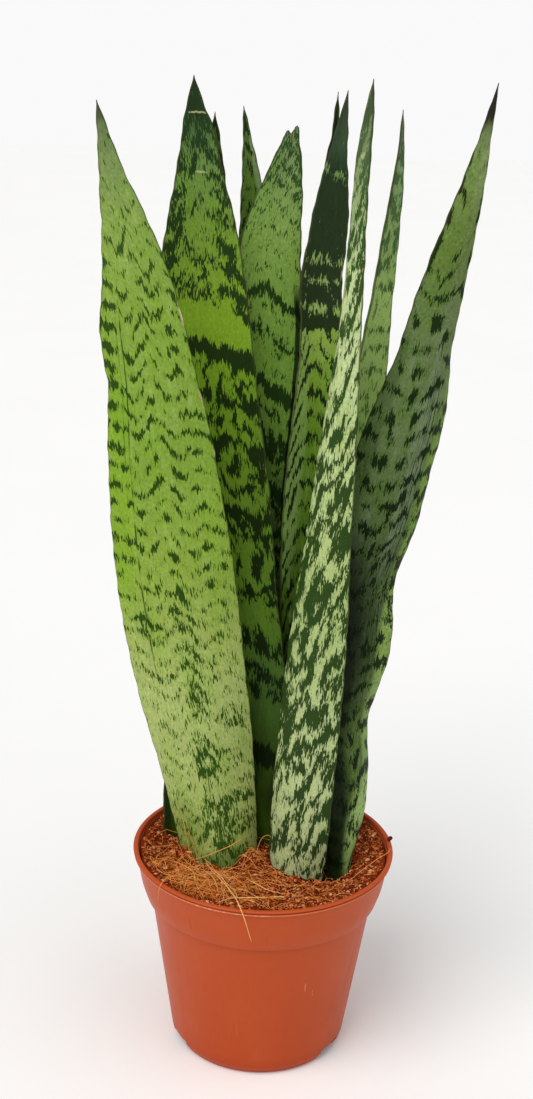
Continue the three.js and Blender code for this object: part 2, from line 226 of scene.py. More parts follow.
# %% Add colours to the language
def linear(code):
    """A colour such as #86a94c, as the linear colour that a shader takes."""
    shares = [int(code[k:k + 2], 16) / 255 for k in (1, 3, 5)]
    return [s / 12.92 if s <= 0.04045 else ((s + 0.055) / 1.055) ** 2.4 for s in shares] + [1.0]


class Surface(Sheet):
    """A sheet that also deals in colours, and hands them to the shader."""

    def ramp(self, value, stops):
        """A colour that changes along a value. stops: (value, colour code)."""
        low, high = stops[0][0], stops[-1][0]
        node = self.add("ValToRGB")
        self.plug(node.inputs[0], (value - low) / (high - low))
        elements = node.color_ramp.elements
        for k, (at, code) in enumerate(stops):
            spot = (at - low) / (high - low)
            element = elements[k] if k < 2 else elements.new(spot)
            element.position = spot
            element.color = linear(code)
        return Wire(self, node.outputs[0])

    def mix(self, share, one, other):
        """One colour, giving way to the other as share goes from 0 to 1."""
        node = self.add("Mix", data_type="RGBA")
        self.plug(node.inputs["Factor"], share)
        colour_sockets = [socket for socket in node.inputs if socket.type == "RGBA"]
        for socket, colour in zip(colour_sockets, (one, other)):
            self.plug(socket, linear(colour) if isinstance(colour, str) else colour)
        result = next(socket for socket in node.outputs if socket.type == "RGBA")
        return Wire(self, result)

    def bright(self, colour, factor):
        """The colour, lighter or darker by a factor."""
        node = self.add("HueSaturation")
        self.plug(node.inputs["Color"], colour)
        self.plug(node.inputs["Value"], factor)
        return Wire(self, node.outputs[0])

    def finish(self, colour, roughness, relief=None, depth=0.1, specular=0.5):
        """Hands the colour, the roughness and a relief of a depth in millimetres to the shader."""
        self.plug(self.shader.inputs["Base Color"], colour)
        self.plug(self.shader.inputs["Roughness"], roughness)
        self.shader.inputs["Specular IOR Level"].default_value = specular
        if relief is not None:
            bump = self.add("Bump")
            bump.inputs["Strength"].default_value = 1.0
            bump.inputs["Distance"].default_value = depth * MM
            self.plug(bump.inputs["Height"], relief)
            self.tree.links.new(bump.outputs[0], self.shader.inputs["Normal"])
        return self.material


print("#86a94c as light:", [round(share, 3) for share in linear("#86a94c")])

# %% [markdown]
# # Floor and light
# The plant stands on a plain pale floor, in the soft light of a white tent.
# A small lamp would throw hard shadows and leave the far floor dark. Two very wide suns, the stronger
# one at the front left, light the floor alike everywhere, and the room's own light fills the rest.
# The room looks a little brighter to the camera than it shines, as a lit backdrop does.

# %% Lay the floor and set the lights
FLOOR_RADIUS = 8.0
STAIN_SIZE = 160
ROOM_LIGHT = 0.43
BACKDROP_LIGHT = 0.95


def floor_material():
    sheet = Surface("pale_floor")
    where = sheet.place()
    stain = sheet.noise(sheet.vector(*[axis / STAIN_SIZE for axis in sheet.split(where)]), detail=3.0)
    colour = sheet.mix(stain * 0.5 + 0.5, "#fafaf9", "#fcfcfb")
    return sheet.finish(colour, stain * 0.05 + 0.7, specular=0.2)


def soft_sun(name, source, spread, strength, colour):
    """Light from one side of the room. spread is how wide the source looks, in degrees."""
    lamp = bpy.data.lights.new(name, "SUN")
    lamp.angle = math.radians(spread)
    lamp.energy = strength
    lamp.color = colour
    sun = bpy.data.objects.new(name, lamp)
    bpy.context.scene.collection.objects.link(sun)
    sun.location = source
    sun.rotation_mode = "QUATERNION"
    sun.rotation_quaternion = (-Vector(source)).to_track_quat("-Z", "Y")


shape = bmesh.new()
bmesh.ops.create_circle(shape, cap_ends=True, segments=96, radius=FLOOR_RADIUS)
floor_mesh = bpy.data.meshes.new("floor")
shape.to_mesh(floor_mesh)
shape.free()
floor = bpy.data.objects.new("floor", floor_mesh)
bpy.context.scene.collection.objects.link(floor)
floor.data.materials.append(floor_material())

soft_sun("sun_left", (-0.6, -0.7, 1.15), spread=45, strength=1.84, colour=(1.0, 0.99, 0.97))
soft_sun("sun_right", (0.8, -0.5, 1.25), spread=60, strength=0.58, colour=(0.98, 0.99, 1.0))

room = bpy.data.worlds.new("room")
room.use_nodes = True
room_light = room.node_tree.nodes["Background"]
seen_light = room.node_tree.nodes.new("ShaderNodeBackground")
for background, strength in ((room_light, ROOM_LIGHT), (seen_light, BACKDROP_LIGHT)):
    background.inputs["Color"].default_value = (1.0, 1.0, 1.0, 1.0)
    background.inputs["Strength"].default_value = strength
which_ray = room.node_tree.nodes.new("ShaderNodeLightPath")
either = room.node_tree.nodes.new("ShaderNodeMixShader")
room.node_tree.links.new(which_ray.outputs["Is Camera Ray"], either.inputs[0])
room.node_tree.links.new(room_light.outputs[0], either.inputs[1])
room.node_tree.links.new(seen_light.outputs[0], either.inputs[2])
room.node_tree.links.new(either.outputs[0], room.node_tree.nodes["World Output"].inputs[0])
bpy.context.scene.world = room
bpy.context.scene.view_settings.view_transform = "Standard"

# %% [markdown]
# # The blades
# A leaf of this plant is a thick sword-shaped blade, with a hollow or a crown across it.
# It could be cut from a plane and bent, but then its two faces and its margin would be guesswork.
# So it is described as the solids are: where its middle runs, how wide it is, which way it faces,
# how far its midrib stands out, where its margin swells and where a strip of it folds away.
# All heights are above the table, in millimetres, and the values are those of the solid it replaces.

# %% Describe the leaves
FOOT_LEVEL = 76
FOOT_THICKNESS = 2.8
BLADE_THICKNESS = 1.8
MARGIN_THICKNESS = 1.0
TIP_THICKNESS = 0.9
TIP_WIDTH = 0.9

# path: height, x, y of the middle. width: height, margin to margin.
# facing: height, degrees that the face turns from the viewer towards +X.
# bulge: height, how far the midrib stands towards the viewer.
# scallops: side, from, to, reach. fold: side, from, to, share, reach.
# broken: how far the torn end stands above the tip's height, from left to right.
LEAVES = {
    "leaf_front_left": {
        "tip": 424,
        "path": [(76, -18, 3), (130, -26, 2), (190, -37, 0), (250, -45, -4), (310, -51.7, -9),
                 (370, -61.2, -16), (400, -68.6, -20), (424, -73.4, -24)],
        "width": [(76, 31), (92, 35), (130, 42), (170, 49), (215, 52), (240, 51), (270, 47), (290, 43.5),
                  (310, 38), (350, 29.5), (385, 16), (400, 9), (424, TIP_WIDTH)],
        "facing": [(76, 8), (250, 3), (424, 0)],
        "bulge": [(76, 14), (150, 8), (250, 5), (350, 3), (424, 0)],
        "scallops": [(-1, 312, 352, 2.2)],
        "fold": (-1, 170, 350, 0.3, 2),
    },
    "leaf_broad_left": {
        "tip": 434,
        "path": [(76, -22, 12), (130, -20.6, 13), (170, -19.3, 14), (190, -21, 14.5), (210, -24, 15),
                 (250, -28, 16), (310, -33.5, 18), (370, -34.6, 20), (434, -39, 22)],
        "width": [(76, 50), (130, 53.4), (250, 54), (290, 51), (330, 43), (370, 31), (385, 24.5), (400, 17.5),
                  (420, 8.8), (434, TIP_WIDTH)],
        "facing": [(76, -4), (434, 0)],
        "bulge": [(76, -5), (200, -4), (350, -3), (434, 0)],
        "scallops": [(1, 398, 421, 1.2)],
    },
    "leaf_hidden_left": {
        "tip": 419,
        "path": [(76, -22, 30), (130, -28, 36), (200, -31, 42), (300, -32, 49), (419, -31.5, 56)],
        "width": [(76, 16), (150, 22), (300, 22), (370, 16), (400, 8), (419, TIP_WIDTH)],
        "facing": [(76, 25), (419, 10)],
        "bulge": [(76, -3), (300, -2), (419, 0)],
    },
    "leaf_back_left": {
        "tip": 422,
        "path": [(76, -4, 37), (200, -5, 38), (300, -7.5, 41), (370, -12.2, 44), (400, -16, 46),
                 (422, -19, 48)],
        "width": [(76, 18), (200, 22), (300, 22), (350, 18), (370, 15), (400, 6), (410, 3.6),
                  (422, TIP_WIDTH)],
        "facing": [(76, -5), (422, -15)],
        "bulge": [(76, -3), (300, -2), (422, 0)],
        "fold": (1, 340, 420, 0.5, 1.2),
    },
    "leaf_broken_tip": {
        "tip": 413.6,
        "path": [(76, -9, 26), (200, -11.3, 26), (250, -11.5, 27), (290, -9.6, 28), (330, -6.8, 30),
                 (350, -6.3, 31), (370, -5.2, 32), (385, -2.7, 33), (400, 0.2, 34), (413.6, 2.2, 35)],
        "width": [(76, 23), (200, 33.5), (290, 37), (330, 33.9), (350, 29.3), (370, 25.7), (385, 20.6),
                  (400, 13.1), (410, 7.2), (413.6, 5.4)],
        "facing": [(76, 10), (416, 10)],
        "bulge": [(76, -4), (300, -3), (416, -0.3)],
        "broken": [-1.6, -0.6, -2.2, -1.4, 0.4, 1.2, 1],
    },
    "leaf_dark": {
        "tip": 430,
        "path": [(76, 16, 20), (170, 16.8, 20), (250, 16.3, 20), (300, 17, 21), (330, 17.2, 21.5),
                 (350, 16.3, 22), (370, 18.4, 23), (400, 20.9, 25), (430, 24.4, 27)],
        "width": [(76, 23), (170, 25.5), (230, 26.1), (250, 25.7), (280, 23.2), (300, 20.6), (325, 17.7),
                  (350, 17.9), (370, 16.6), (385, 14.2), (400, 9.2), (410, 6.3), (430, TIP_WIDTH)],
        "facing": [(76, 8), (250, 8), (430, 0)],
        "bulge": [(76, -4), (300, -3), (430, 0)],
    },
    "leaf_behind_dark": {
        "tip": 429,
        "path": [(76, 20, 33), (200, 19, 39), (300, 18, 44), (400, 20.4, 50), (429, 21.2, 52)],
        "width": [(76, 18), (200, 24), (300, 21), (370, 12), (400, 7), (412, 3.2), (429, TIP_WIDTH)],
        "facing": [(76, -15), (429, -10)],
        "bulge": [(76, -3), (300, -2), (429, 0)],
    },
    "leaf_front_narrow": {
        "tip": 435,
        "path": [(76, 15, -8), (130, 17, -10.5), (190, 20, -13), (250, 23, -16), (310, 26.2, -20),
                 (350, 28, -24), (400, 28.9, -29), (435, 31.2, -33)],
        "width": [(76, 24), (92, 26.6), (110, 28.4), (170, 28.6), (210, 26.3), (250, 21.6), (310, 14.6),
                  (350, 9), (385, 7.7), (410, 6.2), (435, TIP_WIDTH)],
        "facing": [(76, -20), (250, -30), (435, -40)],
        "bulge": [(76, 7), (200, 5), (350, 1.6), (435, 0)],
    },
    "leaf_back_right": {
        "tip": 423,
        "path": [(76, 35, 20), (200, 36, 21), (290, 37.8, 22), (330, 41.3, 23), (370, 45, 25),
                 (410, 47.7, 28), (423, 47.6, 29)],
        "width": [(76, 20), (200, 25), (290, 24), (310, 21), (330, 16), (370, 10.4), (400, 4.8),
                  (423, TIP_WIDTH)],
        "facing": [(76, 50), (423, 40)],
        "bulge": [(76, -3), (300, -2), (423, 0)],
    },
    "leaf_front_right": {
        "tip": 435,
        "path": [(76, 34.2, -4.8), (92, 34.6, -4.5), (112, 35.5, -0.6), (130, 36.3, 3), (160, 34.4, 5.5),
                 (190, 35.5, 6), (220, 37.4, 5), (250, 44.5, 2), (290, 52, -3), (310, 56, -6),
                 (350, 62.5, -13), (400, 73, -20), (435, 79, -24)],
        "width": [(76, 12.5), (92, 13.5), (112, 25.4), (160, 26.5), (190, 33), (250, 38), (290, 38.4),
                  (310, 32.4), (330, 24), (350, 20.9), (370, 17), (400, 9), (418, 4.3), (435, TIP_WIDTH)],
        "facing": [(76, 35), (92, 36), (112, 40), (130, 42), (170, 27), (250, 21), (350, 17), (435, 15)],
        "bulge": [(76, 5), (170, 4), (290, 4), (400, 1), (435, 0)],
        "scallops": [(1, 92, 156, 1.5), (1, 156, 218, 4.5), (1, 218, 272, 0.8)],
        "fold": (1, 218, 345, 0.34, 2.4),
    },
}
print("leaves:", len(LEAVES))

# %% [markdown]
# # From a description to a surface
# Between the heights of a list, a value runs on a smooth curve that never overshoots,
# because an overshoot would show as a bump in the margin.
# A place on a blade is then given by its height and by q, from -1 at the left margin to 1 at the right.

# %% Turn a description into places
def through(points, column=1):
    """A smooth curve through points (height, value, ...), for one height or for an array of them."""
    heights = np.array([point[0] for point in points], float)
    values = np.array([point[column] for point in points], float)
    rises = np.diff(values) / np.diff(heights)
    before, after = rises[:-1], rises[1:]
    steady = before * after > 0
    inner = np.where(steady, 2 * before * after / np.where(steady, before + after, 1), 0)
    slopes = np.concatenate(([rises[0]], inner, [rises[-1]]))

    def value(height):
        height = np.clip(height, heights[0], heights[-1])
        i = np.clip(np.searchsorted(heights, height, side="right") - 1, 0, len(heights) - 2)
        step = heights[i + 1] - heights[i]
        t = (height - heights[i]) / step
        start = values[i] * (1 + 2 * t) * (1 - t) ** 2 + slopes[i] * step * t * (1 - t) ** 2
        end = values[i + 1] * t * t * (3 - 2 * t) - slopes[i + 1] * step * t * t * (1 - t)
        return start + end

    return value


def swell(t):
    """A soft hump for t between 0 and 1."""
    return np.where((t > 0) & (t < 1), np.sin(np.pi * np.clip(t, 0, 1)), 0.0)


def smooth_step(value, low, high):
    t = np.clip((value - low) / (high - low), 0, 1)
    return t * t * (3 - 2 * t)


def cross_section(leaf, height, q):
    """How far along the chord and across it a place of the middle sheet is."""
    along = q * through(leaf["width"])(height) / 2
    across = through(leaf["bulge"])(height) * (1 - q * q)
    for side, low, high, reach in leaf.get("scallops", []):
        out = reach * swell((height - low) / (high - low)) * np.abs(q) ** 3
        along = along + np.where(q * side > 0, side * out, 0)
    if "fold" in leaf:
        side, low, high, share, reach = leaf["fold"]
        past = np.maximum(0, (q * side - (1 - share)) / share)
        across = across - reach * swell((height - low) / (high - low)) ** 0.5 * past ** 1.3
    return along, across


def half_thickness(leaf, height, q):
    """Half the thickness of the blade, which rounds off in the last part next to a margin."""
    rise = (height - FOOT_LEVEL) / (leaf["tip"] - FOOT_LEVEL)
    middle = FOOT_THICKNESS + (BLADE_THICKNESS - FOOT_THICKNESS) * np.minimum(1, rise * 3)
    taper = smooth_step(rise, 0.75, 1)
    thick = MARGIN_THICKNESS + (middle - MARGIN_THICKNESS) * (1 - q ** 4)
    thick = thick + (TIP_THICKNESS - thick) * taper
    half_width = through(leaf["width"])(height) / 2
    to_margin = np.clip((1 - np.abs(q)) * half_width / (MARGIN_THICKNESS / 2), 0, 1)
    return thick / 2 * np.sqrt(1 - (1 - to_margin) ** 2)


def blade_place(leaf, height, q, side):
    """The place in millimetres of a point on the near face (side 1), the far face (-1) or between (0)."""
    nearby = 0.02
    along, across = cross_section(leaf, height, q)
    along_less, across_less = cross_section(leaf, height, q - nearby)
    along_more, across_more = cross_section(leaf, height, q + nearby)
    length = np.hypot(along_more - along_less, across_more - across_less)
    offset = side * half_thickness(leaf, height, q)
    s = along - offset * (across_more - across_less) / length
    t = across + offset * (along_more - along_less) / length
    facing = np.radians(through(leaf["facing"])(height))
    x = through(leaf["path"], 1)(height) + s * np.cos(facing) + t * np.sin(facing)
    y = through(leaf["path"], 2)(height) + s * np.sin(facing) - t * np.cos(facing)
    return x, y


for name, leaf in LEAVES.items():
    x, y = blade_place(leaf, 250.0, 0.0, side=0)
    print(name, "at a height of 250 mm, in mm:", round(float(x), 1), round(float(y), 1))

# %% [markdown]
# # Laying out a blade
# A real blade isn't as even as its description. Its sheet ripples a little, its margin frays,
# and it ends in a thin point, where the solid is blunt. Noise would do for this, but sums of sines
# keep both faces together, because they depend only on the height, on q and on the leaf's own seed.
# The places lie closer together next to the margins and towards the tip, where the blade bends most.

# %% Lay out the places on a blade
BLADE_RINGS = 150
BLADE_STRIPS = 30
POINT_LENGTH = 6
POINT_SHARPNESS = 0.65
TORN_LENGTH = 4


def blade_lines(count):
    """The q of the lines along a blade, closer together next to the margins."""
    t = np.linspace(-1, 1, count + 1)
    return np.sign(t) * (1 - (1 - np.abs(t)) ** 1.6)


def blade_heights(leaf, count):
    t = np.linspace(0, 1, count + 1)
    heights = FOOT_LEVEL + (leaf["tip"] - FOOT_LEVEL) * (t + 0.09 * np.sin(np.pi * t))
    heights[-1] = leaf["tip"]
    return heights


def unevenness(height, q, seed):
    """How far the sheet ripples out of its face, and its margins fray sideways, in millimetres."""
    ripple = 0.16 * np.sin(height / 3.9 + 2.2 * q + seed) * np.sin(height / 23 + 1.3 * seed)
    ripple = ripple + 0.22 * np.sin(height / 11 - 1.7 * q + 2 * seed)
    fray = 0.16 * np.sin(height / 2.7 + seed) + 0.12 * np.sin(height / 1.3 + 3 * seed)
    return ripple, fray * np.sign(q) * np.abs(q) ** 8


def fine_place(leaf, height, q, side, seed):
    """A place on the dressed blade: the plain one with ripples, a fine point and a broken edge."""
    to_tip = smooth_step(height, leaf["tip"] - POINT_LENGTH, leaf["tip"])
    pointed = 0 if "broken" in leaf else POINT_SHARPNESS
    x_middle, y_middle = blade_place(leaf, height, 0 * q, 0)
    x, y = blade_place(leaf, height, q, side)
    x = x + (x_middle - x) * pointed * to_tip
    y = y + (y_middle - y) * pointed * to_tip
    facing = np.radians(through(leaf["facing"])(height))
    ripple, sideways = unevenness(height, q, seed)
    calm = 1 - to_tip
    x = x + calm * (ripple * np.sin(facing) + sideways * np.cos(facing))
    y = y + calm * (sideways * np.sin(facing) - ripple * np.cos(facing))
    z = height + 0 * q
    if "broken" in leaf:
        torn = np.interp(q, np.linspace(-1, 1, len(leaf["broken"])), leaf["broken"])
        torn = torn + 0.35 * np.sin(19 * q) + 0.2 * np.sin(47 * q + 1)
        z = z + torn * smooth_step(height, leaf["tip"] - TORN_LENGTH, leaf["tip"])
    return np.stack([x, y, z], axis=-1)


print("places on each face:", (BLADE_RINGS + 1) * (BLADE_STRIPS + 1))

# %% [markdown]
# # Building a blade
# A grid of places is laid on each face of the blade, and the two grids share their margins,
# so that the blade stays one closed body of the real thickness. A plane with a Solidify modifier
# would be quicker, but it can't thin out towards the margins and the tip.
# Two UV maps go with the mesh. "blade" holds millimetres across and along, and "edge" holds q
# and the distance to the margin, so that a material can be written in sizes.

# %% Build a blade's mesh
FAR_FACE_SHIFT = 500


def new_object(name, mesh, material, slot, *nodes):
    """Puts a finished mesh into the scene, on the one body, in place of the solids that it stands for."""
    thing = bpy.data.objects.new(name, mesh)
    bpy.context.scene.collection.objects.link(thing)
    mesh.materials.append(material)
    mesh.polygons.foreach_set("use_smooth", [True] * len(mesh.polygons))
    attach(thing, "root")
    if nodes:
        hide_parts(*nodes)


def grid_faces(index):
    """The faces between the rows and columns of a grid of vertices."""
    corners = [index[:-1, :-1], index[:-1, 1:], index[1:, 1:], index[1:, :-1]]
    return np.stack([corner.ravel() for corner in corners], axis=1)


def write_map(mesh, name, across, along):
    """A UV map, from two values for each corner of a face."""
    layer = mesh.uv_layers.new(name=name)
    layer.data.foreach_set("uv", np.stack([across, along], axis=1).astype(np.float32).ravel())


def drop_loose(mesh):
    """The far face's own margins are left without faces, because it uses the near face's."""
    shape = bmesh.new()
    shape.from_mesh(mesh)
    loose = [vert for vert in shape.verts if not vert.link_faces]
    bmesh.ops.delete(shape, geom=loose, context="VERTS")
    shape.to_mesh(mesh)
    shape.free()


def blade_mesh(name, leaf, seed):
    height, q = np.meshgrid(blade_heights(leaf, BLADE_RINGS), blade_lines(BLADE_STRIPS), indexing="ij")
    near = fine_place(leaf, height, q, 1, seed)
    far = fine_place(leaf, height, q, -1, seed)
    near_index = np.arange(height.size).reshape(height.shape)
    far_index = near_index + height.size
    far_index[:, 0] = near_index[:, 0]
    far_index[:, -1] = near_index[:, -1]

    near_faces = grid_faces(near_index)
    far_faces = grid_faces(far_index)[:, ::-1]
    foot, end = [list(near_index[row]) + list(far_index[row, -2:0:-1]) for row in (0, -1)]
    faces = [list(map(int, face)) for face in [*near_faces, *far_faces, foot[::-1], end]]
    points = np.concatenate((near.reshape(-1, 3), far.reshape(-1, 3))) * MM
    mesh = bpy.data.meshes.new(name)
    mesh.from_pydata(points.tolist(), [], faces)

    half = through(leaf["width"])(height) / 2
    corner_points = np.empty(len(mesh.loops), np.int64)
    mesh.loops.foreach_get("vertex_index", corner_points)
    place = corner_points % height.size
    on_far_face = np.zeros(len(mesh.loops), bool)
    on_far_face[near_faces.size:near_faces.size + far_faces.size] = True
    write_map(mesh, "blade", (q * half).ravel()[place] + FAR_FACE_SHIFT * on_far_face, height.ravel()[place])
    write_map(mesh, "edge", q.ravel()[place], ((1 - np.abs(q)) * half).ravel()[place])
    drop_loose(mesh)
    return mesh


print("four-sided faces on a blade:", 2 * BLADE_RINGS * BLADE_STRIPS)

# %% [markdown]
# # The marks of a leaf
# The leaves are crossed by dark marks, in rows that bend like chevrons. Each mark has combed edges,
# because the colour stops a little sooner or later in each fibre that runs up the blade.
# A painted image could hold this, but then every leaf would need its own, and none could be made again.
# So the height on the blade is first shifted by noises that are narrow across and long along the leaf,
# which gives the combed edges. Then rows, blotches and bands are looked up at that shifted height,
# and the sum is the blade's darkness: above 0 stands a dark mark, below 0 the ground shows.

# %% Work out where a blade is dark
PLAIN_LOOK = {
    "period": 9.0, "rows": 0.7, "blotches": 1.3, "blotch_size": (3.4, 5.0), "detail": 2.0, "lean": 0.0,
    "comb": 3.0, "lobes": 3.0, "sway": 4.0, "strand": (0.45, 1.7), "soft": 0.1, "depth": 0.95,
    "speckle": 1.0, "roughness": 0.5, "specular": 0.05,
    "bands": [], "patches": [], "tints": [], "creases": [], "dried": [], "shades": [], "scars": [],
}
PLAIN_FRECKLES = 0.8
NET_WIDTH = 0.13
NET_STRENGTH = 5.0


class BladeSheet(Surface):
    """A leaf's material, which knows where on the blade it is."""

    def __init__(self, name, tip, seed):
        super().__init__(name)
        self.across, self.height = self.layout("blade")
        self.q, self.gap = self.layout("edge")
        self.tip = tip
        self.seed = seed

    def grain(self, width, length, detail=1.0):
        """Noise whose features are about this wide and this long on the blade."""
        return self.noise(self.vector(self.across / width, self.height / length, self.seed), detail)

    def oval(self, q, reach_q, height, reach_height):
        """1 in the middle of an oval on the blade, falling softly to 0 at its rim."""
        sideways = (self.q - q) / reach_q
        upwards = (self.height - height) / reach_height
        return self.step(sideways * sideways + upwards * upwards, 1.0, 0.25)

    def stretch(self, low, high, blur):
        """1 between two heights, with soft ends."""
        return self.step(self.height, low, low + blur) * self.step(self.height, high, high - blur)

    def beside(self, side, fray, reach, full):
        """A strip along one margin: it starts at reach from the margin, and is whole nearer than full."""
        return self.step(self.q * side, 0.0, 0.1) * self.step(self.gap + fray, reach, full)


def band_points(bands, low, high):
    """The points of a curve that is 0 between bands and a strength inside them."""
    points = [(low, 0.0)]
    for middle, half, strength in sorted(bands):
        blur = min(1.5, half)
        points += [(middle - half - blur, 0.0), (middle - half + blur / 2, strength),
                   (middle + half - blur / 2, strength), (middle + half + blur, 0.0)]
    points.append((high, 0.0))
    kept = [points[0]]
    for point in points[1:]:
        if point[0] > kept[-1][0] + 0.2:
            kept.append(point)
    return kept


def darkness(sheet, look):
    """How dark each place of the blade is: above 0 in a mark, below 0 on the ground."""
    comb = sheet.grain(0.42, 6) * look["comb"]
    lobes = sheet.grain(1.9, 12) * look["lobes"]
    sway = sheet.grain(10, 34) * look["sway"]
    level = sheet.height + comb + lobes + sway + sheet.curve(sheet.q, look["chevron"])

    rows = sheet.math("COSINE", level * (2 * math.pi / look["period"]))
    wide, long = look["blotch_size"]
    leaning = sheet.across - sheet.height * look["lean"]
    blotches = sheet.noise(sheet.vector(leaning / wide, level / long, look["seed"] + 3.1), look["detail"])
    strands = sheet.grain(*look["strand"], 2.0)
    value = rows * look["rows"] + blotches * look["blotches"]
    if "fade" in look:
        value = value * sheet.curve(sheet.height, look["fade"])
    freckles = look.get("freckles", [(FOOT_LEVEL, PLAIN_FRECKLES), (sheet.tip, PLAIN_FRECKLES)])
    value = value + strands * sheet.curve(sheet.height, freckles)
    value = value + sheet.curve(sheet.height, look["cover"])
    if "net" in look:
        wide, long, strengths = look["net"]
        cells = sheet.noise(sheet.vector(sheet.across / wide, level / long, look["seed"] + 7.7), 1.0)
        lines = (NET_WIDTH - sheet.math("ABSOLUTE", cells)) * NET_STRENGTH
        value = value + lines * sheet.curve(sheet.height, strengths)
    if look["bands"]:
        band_level = level
        if "band_bend" in look:
            band_level = sheet.height + comb + lobes * 0.6 + sheet.curve(sheet.q, look["band_bend"])
        strengths = band_points(look["bands"], FOOT_LEVEL - 20, sheet.tip + 20)
        value = value + sheet.curve(band_level, strengths)
    for *oval, amount in look["patches"]:
        value = value + sheet.oval(*oval) * amount
    return value


print("values that a look may leave out:", ", ".join(PLAIN_LOOK))

# %% [markdown]
# # The ground of a leaf
# Between the marks a blade isn't one green: broad clouds of a more vivid green lie on it,
# the ground near a mark is often deeper, and fine streaks run along the fibres.
# A colour ramp over the height alone would look airbrushed, so each of these is mixed in by a noise
# of its own size. Soft ovals then tint the ground: some with the blade's own colour where age changes it,
# others with painted shade where a neighbour shades the blade and painted light where it is lit more.

# %% Colour the ground
def ground_colour(sheet, look, value):
    ground = sheet.ramp(sheet.height, look["ground"])
    ground = sheet.mix(sheet.step(sheet.grain(9, 38), -0.2, 1.0) * 0.5, ground, look["vivid"])
    if "halo" in look:
        ground = sheet.mix(sheet.step(value, -1.5, -0.1) * look["halo"], ground, look["vivid"])
    if "pale" in look:
        ground = sheet.mix(sheet.step(sheet.grain(3.2, 13, 2.0), 0.0, 0.9) * 0.6, ground, look["pale"])
    # Tints: some are the blade's own colour, others painted shade where a neighbour shades it and painted
    # light where it is lit more.
    for *oval, amount, colour in look["tints"]:
        ground = sheet.mix(sheet.oval(*oval) * amount, ground, colour)
    speckle = look["speckle"]
    flecks = sheet.step(sheet.grain(0.8, 1.2, 2.0), -0.1, 0.7) * 0.2 * speckle
    dust = sheet.step(sheet.grain(0.8, 1.4, 2.0), 0.0, 0.8) * 0.24 * speckle
    streaks = sheet.grain(0.5, 60) * 0.06 + sheet.grain(1.7, 30) * 0.05
    return sheet.bright(ground, streaks + flecks - dust + 1.0)

# %% [markdown]
# # What time leaves on a leaf
# Old blades are creased where they once bent, scarred where they were knocked, and dry along a margin
# or at the tip. Modelling each crease would cost many faces for a line a tenth of a millimetre deep.
# So they are colours, laid over the marks in the order in which they came to the leaf, and each crease
# is a dark line of painted shade. A margin that lies in a neighbour's shade gets a strip of painted shade.

# %% Add creases, margins and scars
RIM_COLOUR = "#3a4422"
DRY_COLOUR = "#cdbf95"
SHADE_COLOUR = "#0b1406"
SCAR_COLOUR = "#b9b386"
END_COLOUR = "#4b4030"


def lay_creases(sheet, look, colour):
    for line_q, low, high, strength in look["creases"]:
        wander = sheet.grain(30, 25) * 0.012
        line = sheet.step(sheet.math("ABSOLUTE", sheet.q - line_q + wander), 0.022, 0.004)
        line = line * sheet.stretch(low, high, 15) * sheet.step(sheet.grain(2, 7), -0.5, 0.3)
        # The crease is painted shade: a dark line in the colour of the marks.
        colour = sheet.mix(line * strength, colour, look["dark"][0][1])
    return colour


def lay_margins(sheet, look, colour):
    rim = sheet.step(sheet.gap + sheet.grain(0.8, 5) * 0.12, 0.75, 0.25)
    colour = sheet.mix(rim * 0.8, colour, RIM_COLOUR)
    for side, low, high, width in look["dried"]:
        strip = sheet.beside(side, sheet.grain(0.7, 3) * 0.5, width, width * 0.4)
        strip = strip * sheet.stretch(low, high, 3) * sheet.step(sheet.grain(1.2, 5), -0.4, 0.1)
        colour = sheet.mix(strip, colour, DRY_COLOUR)
    # Shades: a near-black strip of painted shade along a margin that lies in a neighbour's shade.
    for side, low, high, width in look["shades"]:
        strip = sheet.beside(side, sheet.grain(0.7, 9) * 0.25, width + 0.3, width - 0.3)
        colour = sheet.mix(strip * sheet.stretch(low, high, 12) * 0.92, colour, SHADE_COLOUR)
    return colour


def lay_scars(sheet, look, colour):
    for scar_q, reach, height, half in look["scars"]:
        off_line = sheet.math("ABSOLUTE", sheet.height - height + sheet.grain(1.5, 9) * 0.4)
        scar = sheet.step(off_line, half * 1.6, half * 0.6)
        scar = scar * sheet.step(sheet.math("ABSOLUTE", sheet.q - scar_q), reach, reach * 0.8)
        colour = sheet.mix(scar * sheet.step(sheet.grain(0.7, 1.5), -0.5, 0.0) * 0.8, colour, SCAR_COLOUR)
    start, end_colour = look.get("end", (sheet.tip - 5, END_COLOUR))
    at_end = sheet.step(sheet.height + sheet.grain(1, 4) * 2, start, min(start + 6, sheet.tip - 0.3))
    return sheet.mix(at_end, colour, end_colour)


print("colours laid over a leaf:", RIM_COLOUR, DRY_COLOUR, SHADE_COLOUR, SCAR_COLOUR, END_COLOUR)

# %% [markdown]
# # A leaf's whole material
# The dark marks go over the ground with sharp edges, and with a faint haze of the same colour round them.
# Creases, margins and scars come next. The skin is a little waxy, so it is rougher than plastic,
# and a low relief along the fibres breaks up its sheen. Marks lie a little lower than the ground.

# %% Put a leaf's material together
HAZE = 0.14
SKIN_DEPTH = 0.07


